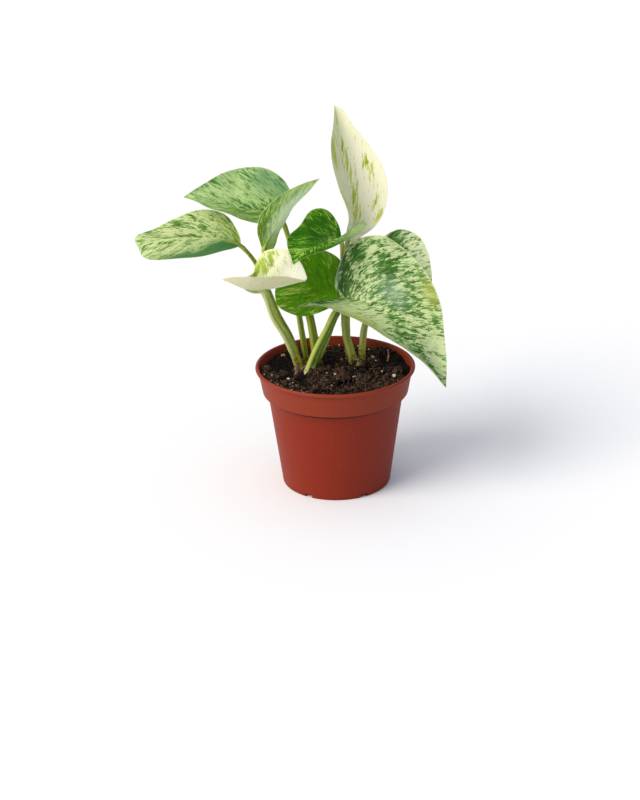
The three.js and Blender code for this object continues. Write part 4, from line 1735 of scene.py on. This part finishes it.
CREAM_CUP = Leaf(
    name="cream_cup",
    slot="leaf_cream",
    rib=[(-28, -4, 83), (-32, -8, 84.5), (-36, -12, 87.5), (-40, -15, 90.5), (-43, -16, 92)],
    left=[(-24.5, -5.2, 86), (-19.5, -6.4, 87.5), (-14.5, -7.2, 88), (-10.8, -7.6, 88),
          (-14.5, -10.6, 90), (-18.5, -13, 91.6), (-24.5, -16, 92.7), (-31.5, -18, 93.5),
          (-38.5, -17.5, 93.3)],
    right=[(-25, -3, 85), (-19.5, -1.8, 86.2), (-14.5, -1.8, 86.3), (-10.6, -2.6, 86.6),
           (-11, -1.8, 89), (-13, 0, 93), (-17.5, 1.5, 97.5), (-23, 2, 98), (-27.3, 1.5, 97),
           (-30.2, -1, 93.3), (-30.8, -4.5, 91), (-34, -8.5, 90.3), (-38.5, -12.5, 91.3)],
    bulge=(-0.2, -0.4),
    start=2.5,
    finish=LeafFinish(
        deep="#648c0c", green="#82a41c", middle="#a8be48", pale="#d6de98", cream="#f3f2dc",
        cover=0.41, core=0.05, fleck=(0.65, 2.2), patchy=0.1, seed=4.0, plain="#f3f2e2",
        under="#dedcae", under_share=0.85, yellow="#bccc4c", rim="#e6e6c8",
    ),
    spots={
        Tint.YELLOW: [(0.74, 0.75, 0.1, 0.7, 0.7), (0.6, 0.6, 0.12, 0.6, 0.5)],
        Tint.FLECKS: [
            (0.7, 0.7, 0.12, 0.6, -0.22), (0.63, 0.45, 0.035, 0.3, -1.0),
            (0.55, 0.6, 0.04, 0.3, -0.6),
        ],
        Tint.DEEP: [(0.63, 0.45, 0.05, 0.3, 0.6)],
        Tint.PLAIN: [(0.3, 0.75, 0.14, 0.6, 0.8)],
    },
)


DARK_HEART = Leaf(
    name="dark_heart",
    slot="leaf_dark",
    rib=[(3, 7, 100), (-1.5, 3.5, 100.5), (-6, -1, 100.5), (-12, -6, 99), (-15.5, -9, 95)],
    left=[(5.5, 8.5, 102.5), (9.5, 8.5, 105.5), (12, 7.5, 107), (13, 6, 106), (9, 3, 103),
          (5, 0, 101.5), (0.5, -4, 100.5), (-3, -6.5, 100), (-10.5, -10, 98.5)],
    right=[(3, 8.5, 101.5), (2, 10, 105), (-1, 11, 109.5), (-4.5, 10.5, 111.5), (-9, 8.5, 111),
           (-13, 4.5, 106.5), (-17.5, 1.5, 103), (-18, -2, 100.5), (-16.5, -6, 97.5)],
    bulge=(0.6, 1.2),
    finish=LeafFinish(
        deep="#1c4604", green="#2b6206", middle="#48840e", pale="#6a9a26", cream="#94b454",
        cover=0.575, core=0.05, fleck=(0.45, 2.0), patchy=0.35, seed=5.0, plain="#9fae82", gloss=0.1,
        rim="#86a850", rim_share=0.6, rib="#4a7a1c", rib_share=0.3, under="#8aa680", under_share=0.7,
        ground=(0.42, 0.6),
    ),
    spots={
        Tint.FLECKS: [
            (0.45, -0.45, 0.35, 0.45, 0.2), (0.85, 0.3, 0.15, 0.7, 0.2),
            (0.45, 0.95, 0.25, 0.2, 0.25), (0.15, 0.3, 0.1, 0.5, 0.25),
        ],
        Tint.MIDDLE: [(0.45, 0.95, 0.3, 0.25, 0.5)],
        # Painted sheen: the plain spot lays an even grey-green over the left half's basal lobe.
        Tint.PLAIN: [(0.27, -0.85, 0.17, 0.6, 0.65)],
    },
)


TALL_CREAM = Leaf(
    name="tall_cream",
    slot="leaf_cream",
    rib=[(5.5, 13, 96.5), (8, 13.5, 105), (7, 14, 111.5), (4.5, 16, 124), (2, 19, 140.5),
         (1, 22, 149.5)],
    left=[(4.5, 12, 97.5), (5, 10, 102), (6, 6, 109), (5, 3, 115), (2.5, 2, 121.5),
          (0, 5, 129.5), (-0.5, 9, 136), (0.5, 17, 144)],
    right=[(8, 13, 96.5), (11, 12.5, 99), (15.5, 12, 102.5), (19, 12, 107), (21, 12.5, 113),
           (21.5, 13, 119), (20, 14, 125.5), (17, 15.5, 131), (12.5, 18, 137), (7.5, 20, 143),
           (4, 21.5, 148)],
    bulge=(0.5, 1.2),
    finish=LeafFinish(
        deep="#879e1c", green="#a6b834", middle="#c6cf6c", pale="#dbdca0", cream="#e4e2c8",
        cover=0.385, core=0.035, fleck=(1.5, 2.8), patch=(9.0, 9.0), patchy=0.25, seed=6.0,
        plain="#fbf9ea", rib="#cdd48e", rim="#d8d4b0", under="#e6e4cc", under_share=0.35,
        yellow="#c8d678",
    ),
    spots={
        Tint.FLECKS: [
            (0.72, -0.75, 0.1, 0.3, -0.85), (0.42, -0.55, 0.12, 0.3, -0.55),
            (0.5, 0.14, 0.1, 0.09, -0.7), (0.8, 0.12, 0.14, 0.12, -0.6),
            (0.62, 0.66, 0.06, 0.12, -0.65), (0.27, 0.88, 0.06, 0.12, -0.7),
            (0.37, 0.6, 0.05, 0.12, -0.5), (0.28, 0.1, 0.14, 0.14, -0.5),
        ],
        # Painted light: the plain spot lifts the blade's base, where it lies in shade, to near white.
        Tint.PLAIN: [(0.12, -0.2, 0.14, 0.8, 0.6)],
        Tint.YELLOW: [
            (0.55, -0.6, 0.35, 0.4, 0.3), (0.25, 0.1, 0.25, 0.2, 0.3), (0.92, 0.0, 0.12, 0.8, 0.4),
        ],
    },
    sweep=(0.7, 0.7),
)


DARK_REAR = Leaf(
    name="dark_rear",
    slot="leaf_dark",
    rib=[(2, 6, 76), (-4, 7.5, 78.5), (-10.5, 8, 81.5), (-16.5, 8.5, 84), (-22, 8, 85)],
    left=[(0.6, 4.8, 73.5), (-4, 4.8, 71), (-9, 5.5, 69), (-13.5, 5.5, 68.5), (-18, 5.2, 70),
          (-22.3, 5, 73), (-23.5, 6, 77.5), (-23, 7.5, 81.5)],
    right=[(2.5, 7.5, 80), (3.5, 8.5, 85.5), (2.5, 9.5, 90.5), (-3, 10.5, 94), (-9, 10.5, 94.5),
           (-15, 10, 92.5), (-19.5, 9, 89)],
    bulge=(1.0, 1.0),
    finish=LeafFinish(
        deep="#3c7006", green="#508a08", middle="#679e12", pale="#7da82c", cream="#a6be5c",
        cover=0.59, core=0.05, fleck=(0.45, 2.0), patchy=0.35, seed=7.0, rim="#7f8440", gloss=0.06,
        rib="#6a961e", rib_share=0.2, ground=(0.42, 0.6),
    ),
    spots={
        Tint.FLECKS: [(0.75, -0.6, 0.3, 0.5, 0.35)],
        Tint.YELLOW: [(0.5, 1.0, 0.3, 0.1, 0.3)],
    },
)


BIG_RIGHT = Leaf(
    name="big_right",
    slot="leaf_flecked",
    rib=[(3.5, 2, 78), (12.5, -5, 77.5), (23, -16, 73.5), (33, -27, 66.5), (42, -34, 53.5)],
    left=[(0.4, 3.2, 81), (1, 4, 86.5), (3, 5, 92.5), (7, 5.5, 99), (12.5, 5, 101.5), (20, 3, 102),
          (29.5, 1, 95.5), (37, -5, 87.5), (41, -12, 79), (42, -20, 69.5), (42.5, -28, 61.5)],
    right=[(0, 1, 77), (-6.5, 0, 77), (-14.5, -3, 76), (-7, -10, 79), (3.5, -20, 78.5),
           (12, -27, 77), (20, -33, 73.5), (28, -36, 69), (36, -37, 62.5)],
    bulge=(2.0, 1.5),
    finish=LeafFinish(
        deep="#24480a", green="#396a1c", middle="#5f8e44", pale="#90ae6a", cream="#b9c794",
        cover=0.5, core=0.035, fleck=(0.52, 1.5), patch=(2.4, 5.0), patchy=0.5, seed=8.0,
        plain="#8aa68a", yellow="#a0a844", rib="#396a1c", rib_share=0.2, under="#7f9a52",
        rim="#c0c896", rim_share=0.6, gloss=0.2,
    ),
    spots={
        Tint.FLECKS: [
            (0.1, -0.55, 0.08, 0.5, -0.55), (0.12, 0.7, 0.1, 0.5, -0.45),
            (0.33, -0.7, 0.14, 0.4, 0.2), (0.38, -0.62, 0.05, 0.12, -0.8),
            (0.24, -0.75, 0.03, 0.1, -0.9), (0.45, -0.3, 0.2, 0.25, -0.2),
            (0.8, -0.7, 0.15, 0.3, 0.1), (0.85, 0.2, 0.2, 0.2, -0.35), (0.4, 0.5, 0.25, 0.5, 0.45),
            (0.8, 0.98, 0.3, 0.2, 0.6), (0.88, -0.4, 0.14, 0.6, 0.45),
        ],
        Tint.DEEP: [
            (0.1, -0.55, 0.08, 0.5, 0.6), (0.12, 0.7, 0.1, 0.5, 0.5), (0.42, 0.0, 0.15, 0.15, 0.3),
            (0.85, 0.1, 0.2, 0.25, 0.3),
        ],
        # Painted sheen: the plain spots lay an even grey-green near the left half's base and in its
        # middle.
        Tint.PLAIN: [(0.07, -0.93, 0.06, 0.14, 0.6), (0.47, -0.35, 0.09, 0.16, 0.6)],
        Tint.YELLOW: [
            (0.62, -0.88, 0.06, 0.16, 0.9), (0.5, 0.8, 0.1, 0.3, 1.0), (0.75, 0.98, 0.3, 0.16, 0.9),
        ],
        Tint.MIDDLE: [(0.4, 0.5, 0.3, 0.5, 0.5)],
    },
    veins=9,
    quilt=0.25,
    sweep=(0.3, -0.16),
    rows=120,
    columns=81,
)


RIGHT_REAR = Leaf(
    name="right_rear",
    slot="leaf_flecked",
    rib=[(20.5, 16, 84.5), (26.5, 14, 85.5), (32.5, 12, 82), (38, 10, 74)],
    left=[(17.5, 18, 89.5), (18.5, 19, 95), (23.5, 19, 99), (27.5, 18.5, 100), (34, 17, 97.5),
          (37.5, 15, 91.5), (38.5, 13, 86.5), (39, 11, 80)],
    right=[(18.5, 16, 82), (16, 14, 78.5), (20.5, 11, 74.5), (27, 9.5, 73.5), (33.5, 9, 72)],
    bulge=(1.0, 1.0),
    finish=LeafFinish(
        deep="#2f6016", green="#4b8030", middle="#7aa058", pale="#b2cc8e", cream="#dae6b8",
        cover=0.465, core=0.035, fleck=(0.6, 1.6), patch=(2.4, 4.5), patchy=0.4, seed=9.0,
        plain="#5f8f4c", rim="#d6deba", rim_share=0.9,
    ),
    spots={
        Tint.FLECKS: [(0.3, -0.8, 0.14, 0.3, -0.6), (0.7, -0.6, 0.2, 0.5, 0.3)],
        Tint.PLAIN: [(0.36, -0.75, 0.06, 0.12, 0.6)],
    },
)


GREEN_STALK = StalkFinish()
STRIPED_STALK = StalkFinish(
    pale="#a4b254", green="#52701c", channel="#34500c", foot="#b2b680", foot_height=5.0,
    balance=0.1, scab=0.1,
)
HEART_STALK = StalkFinish(pale="#b6ba62", green="#8e9c3a", channel="#7c8a34")
REAR_STALK = StalkFinish(
    pale="#c2ca7c", green="#98a64a", channel="#75862a", foot="#8a8238", scab=0.5,
)
PALE_STALK = StalkFinish(
    pale="#b9c17e", green="#8fa03c", channel="#6f8420", foot="#9c8e1c", foot_height=14.0,
    balance=-0.3,
)
DARK_STALK = StalkFinish(
    pale="#a2b048", green="#6c8420", channel="#44590c", foot="#746c2a", balance=0.2, scab=0.7,
)

STALKS = [
    Stalk(FAR_LEFT, [(-13.5, 8.3, 38), (-14.5, 7.5, 48), (-17.5, 7, 59), (-22, 6.5, 68.5),
                     (-26, 6, 79.5), (-30.5, 5.5, 90.5), (-33.5, 4.5, 95.5), (-36, 3, 99.3)],
          (1.0, 0.8), "stalk_dark", DARK_STALK),
    Stalk(UPPER_LEFT, [(-5.5, 8, 38), (-7.5, 9.5, 50), (-9.5, 11, 63.5), (-11, 12, 70.5),
                       (-13.5, 13, 83.5), (-17.5, 14, 97.5), (-19.8, 14, 105.2)],
          (2.1, 0.9), "stalk_green", GREEN_STALK),
    Stalk(FOLDED, [(-9.8, 9.5, 38), (-11.5, 9, 48), (-12.5, 9.5, 54.5), (-13.5, 10.5, 61),
                   (-14.5, 11.5, 67.5), (-17, 12, 75.5), (-21.5, 11, 86), (-25.6, 8.4, 91.6),
                   (-27.8, 5.2, 95.3)],
          (1.3, 1.0), "stalk_green", GREEN_STALK),
    Stalk(CREAM_CUP, [(-12.5, 4, 36), (-14.5, 3.5, 47.5), (-16.5, 2, 54.5), (-19.5, 0, 62.5),
                      (-24, -2, 71.5), (-27.8, -3.9, 81.8)],
          (2.1, 1.4), "stalk_pale", PALE_STALK),
    Stalk(DARK_HEART, [(7.5, 7, 36), (7.2, 8, 48), (6, 9, 53), (4.5, 10, 58.5), (4, 11, 66.5),
                       (4, 12.5, 80), (3.5, 11.5, 91), (3, 7.2, 99.6)],
          (2.0, 0.8), "stalk_green", HEART_STALK),
    Stalk(TALL_CREAM, [(6, 12, 38), (5.5, 13.5, 48), (5, 15, 57), (5, 16, 65), (5, 16, 80),
                       (5.5, 13, 96)],
          (1.4, 0.9), "stalk_pale", PALE_STALK),
    Stalk(DARK_REAR, [(-8.5, 2.5, 37), (-8.8, 4, 47), (-5.5, 5.5, 54), (-2, 7, 62.5), (0.3, 8, 68.5),
                      (1.8, 7.6, 74.4)],
          (1.8, 1.3), "stalk_dark", REAR_STALK, drop=1.2),
    Stalk(BIG_RIGHT, [(-13.5, -1.5, 40), (-11, -1, 46), (-7, 0, 56), (-2.5, 1, 65), (0.5, 1.5, 71),
                      (2.9, 1.9, 75.6)],
          (2.1, 1.5), "stalk_green", STRIPED_STALK, drop=1.3),
    Stalk(RIGHT_REAR, [(10.5, 10, 42), (10.8, 10.8, 49), (11.2, 11.8, 54), (12, 14, 60),
                       (16, 17.5, 72), (19.3, 18.5, 80), (20.6, 17.4, 84)],
          (1.6, 1.0), "stalk_pale", PALE_STALK),
]

CROWNS = [
    Crown("crown_left", centre=(-12.6, 5.6, 45.5), half=(4.6, 5.0, 4.6), seed=11),
    Crown("crown_right", centre=(8.6, 9.6, 45.0), half=(4.2, 4.6, 5.0), seed=12),
]

TWIG = Splinter(
    "twig", "bark_chip", foot=(21.2, 10.6, 46), top=(21.7, 11.4, 50.6), radius=(0.42, 0.3), flat=0.8,
)
SHEATH = Splinter(
    "sheath_scrap", "dry_sheath", foot=(-15.6, -0.9, 45.5), top=(-15.1, -0.6, 50.6),
    radius=(1.1, 0.45), flat=0.7,
)


@dataclass
class Studio:
    """A pale floor, soft light and the camera.

    Attributes:
        focal: the camera's focal length for a 36 mm sensor side.
        distance: from the camera to the middle of the pot's rim.
        elevation: the camera's height above the rim, in degrees.
        rim_height: the rim's height above the floor.
        pitch: how far the view points below the horizon, in degrees.
        yaw: how far it points to the right, in degrees.
        roll: how far the camera is turned clockwise, in degrees.
        sky_left: the sky's red, green and blue on the left.
        sky_right: the same on the right.
        key_towards: the direction from the plant to the main light.
        key_strength: its power for each square metre.
        key_spread: its width as seen from the plant, in degrees.
        key_tint: its colour.
        floor_tint: the floor's colour.
        floor_half: half the floor's width.
    """

    focal: float = 73.125
    distance: float = 650.0
    elevation: float = 22.1
    rim_height: float = 50.0
    pitch: float = -23.361
    yaw: float = -0.602
    roll: float = 1.0
    sky_left: tuple[float, float, float] = (1.03, 0.96, 0.85)
    sky_right: tuple[float, float, float] = (0.36, 0.43, 0.58)
    key_towards: Point = (-0.8, -0.52, 0.74)
    key_strength: float = 2.9
    key_spread: float = 40.0
    key_tint: str = "#fff8ee"
    floor_tint: str = "#e9ecf1"
    floor_half: float = 6000.0

    def place(self, thing: Piece, directions: Sequence[Array], at: Array) -> None:
        """Turns a light or a camera, moves it and puts it into the scene.

        Args:
            thing: the light or camera.
            directions: where its own X, Y and Z axes point.
            at: where it stands, in millimetres.
        """
        turn = Matrix(np.stack(directions, 1).tolist()).to_4x4()
        thing.matrix_world = Matrix.Translation((at * MM).tolist()) @ turn
        bpy.context.scene.collection.objects.link(thing)

    def camera(self) -> None:
        """Places the camera by its view, side and up directions."""
        angles = (self.elevation, self.pitch, self.yaw, self.roll)
        rise, pitch, yaw, roll = (math.radians(angle) for angle in angles)
        level = math.cos(pitch)
        view = np.array([math.sin(yaw) * level, math.cos(yaw) * level, math.sin(pitch)])
        side = unit(np.cross(view, UP))
        up = np.cross(side, view)
        cos, sin = math.cos(roll), math.sin(roll)
        side, up = cos * side - sin * up, sin * side + cos * up
        height = self.rim_height + self.distance * math.sin(rise)
        made = bpy.data.objects.new("camera", bpy.data.cameras.new("camera"))
        made.data.lens = self.focal
        made.data.sensor_width = 36.0
        made.data.clip_start = 0.02
        made.data.clip_end = 50.0
        self.place(made, (side, up, -view), np.array([0, -self.distance * math.cos(rise), height]))
        bpy.context.scene.camera = made

    def key(self) -> None:
        """Adds the main light, a broad and even one."""
        data = bpy.data.lights.new("key", "SUN")
        data.energy = self.key_strength
        data.angle = math.radians(self.key_spread)
        data.color = colour(self.key_tint)[:3]
        back = unit(np.array(self.key_towards))
        side = unit(np.cross(UP, back))
        self.place(bpy.data.objects.new("key", data), (side, np.cross(back, side), back), np.zeros(3))

    def sky(self) -> None:
        """Surrounds the scene with soft light that falls off from the left to the right."""
        world = bpy.data.worlds.new("sky")
        world.use_nodes = True
        nodes = Nodes(world.node_tree)
        direction = nodes.node("ShaderNodeTexCoord", {}).outputs["Generated"]
        share = nodes.node("ShaderNodeMapRange", {0: nodes.parts(direction)[0], 1: -1.0}).outputs[0]
        light = nodes.mix(share, (*self.sky_left, 1.0), (*self.sky_right, 1.0))
        nodes.feed(nodes.tree.nodes["Background"].inputs[0], light)
        bpy.context.scene.world = world

    def floor(self) -> None:
        """Lays the floor as one large square."""
        corners = self.floor_half * np.array([(-1, -1, 0), (1, -1, 0), (1, 1, 0), (-1, 1, 0)], float)
        floor = write_mesh("floor", corners, [np.array([[0, 1, 2, 3]])], {})
        floor.data.materials.append(Shade("pale floor").close(colour(self.floor_tint), 0.9))

    def build(self) -> None:
        """Makes the floor, the sky, the main light and the camera."""
        self.floor()
        self.sky()
        self.key()
        self.camera()


def strew(soil: Soil) -> None:
    """Strews the loose pieces over the soil.

    Args:
        soil: what they lie on.
    """
    crumbs = soil.finish.material("peat crumbs", 0.15)
    perlite = GrainFinish(light="#e9e2d6", dark="#b7a894").material("perlite")
    chip = GrainFinish(light="#b98d5e", dark="#7c5534", pore_size=0.6).material("bark chip")
    sheath = GrainFinish(light="#6e5850", dark="#382826", pore_size=0.8).material("dry sheath")
    Scatter(
        "peat_clods", soil, count=380, radius=(0.5, 1.6), lean=1.8, sink=0.3, seed=5, rounds=1, tone=0.83,
    ).build(crumbs, "peat")
    Scatter(
        "peat_crumbs", soil, count=2800, radius=(0.14, 0.65), lean=2.5, sink=0.2, seed=3,
    ).build(crumbs, "peat")
    Scatter(
        "perlite_dust", soil, count=170, radius=(0.12, 0.42), lean=2.0, sink=-0.3, seed=4,
    ).build(perlite, "perlite")
    Fibres(soil).build()
    for seed, node in enumerate(PERLITE, 1):
        Grain(node, "perlite", seed).build(perlite, soil)
    Grain("bark_chip", "bark_chip", seed=9).build(chip, soil)
    TWIG.build(chip)
    SHEATH.build(sheath)


def main() -> None:
    """Builds the potted plant piece by piece."""
    logging.basicConfig(level=logging.INFO, format="%(name)s: %(message)s")
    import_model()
    bpy.context.scene.view_settings.view_transform = "Standard"
    Studio().build()
    pot = Pot()
    pot.build()
    soil = Soil(pot)
    soil.build()
    strew(soil)
    for crown in CROWNS:
        crown.build()
    for stalk in STALKS:
        stalk.build()
        stalk.leaf.build()


if __name__ == "__main__":
    main()
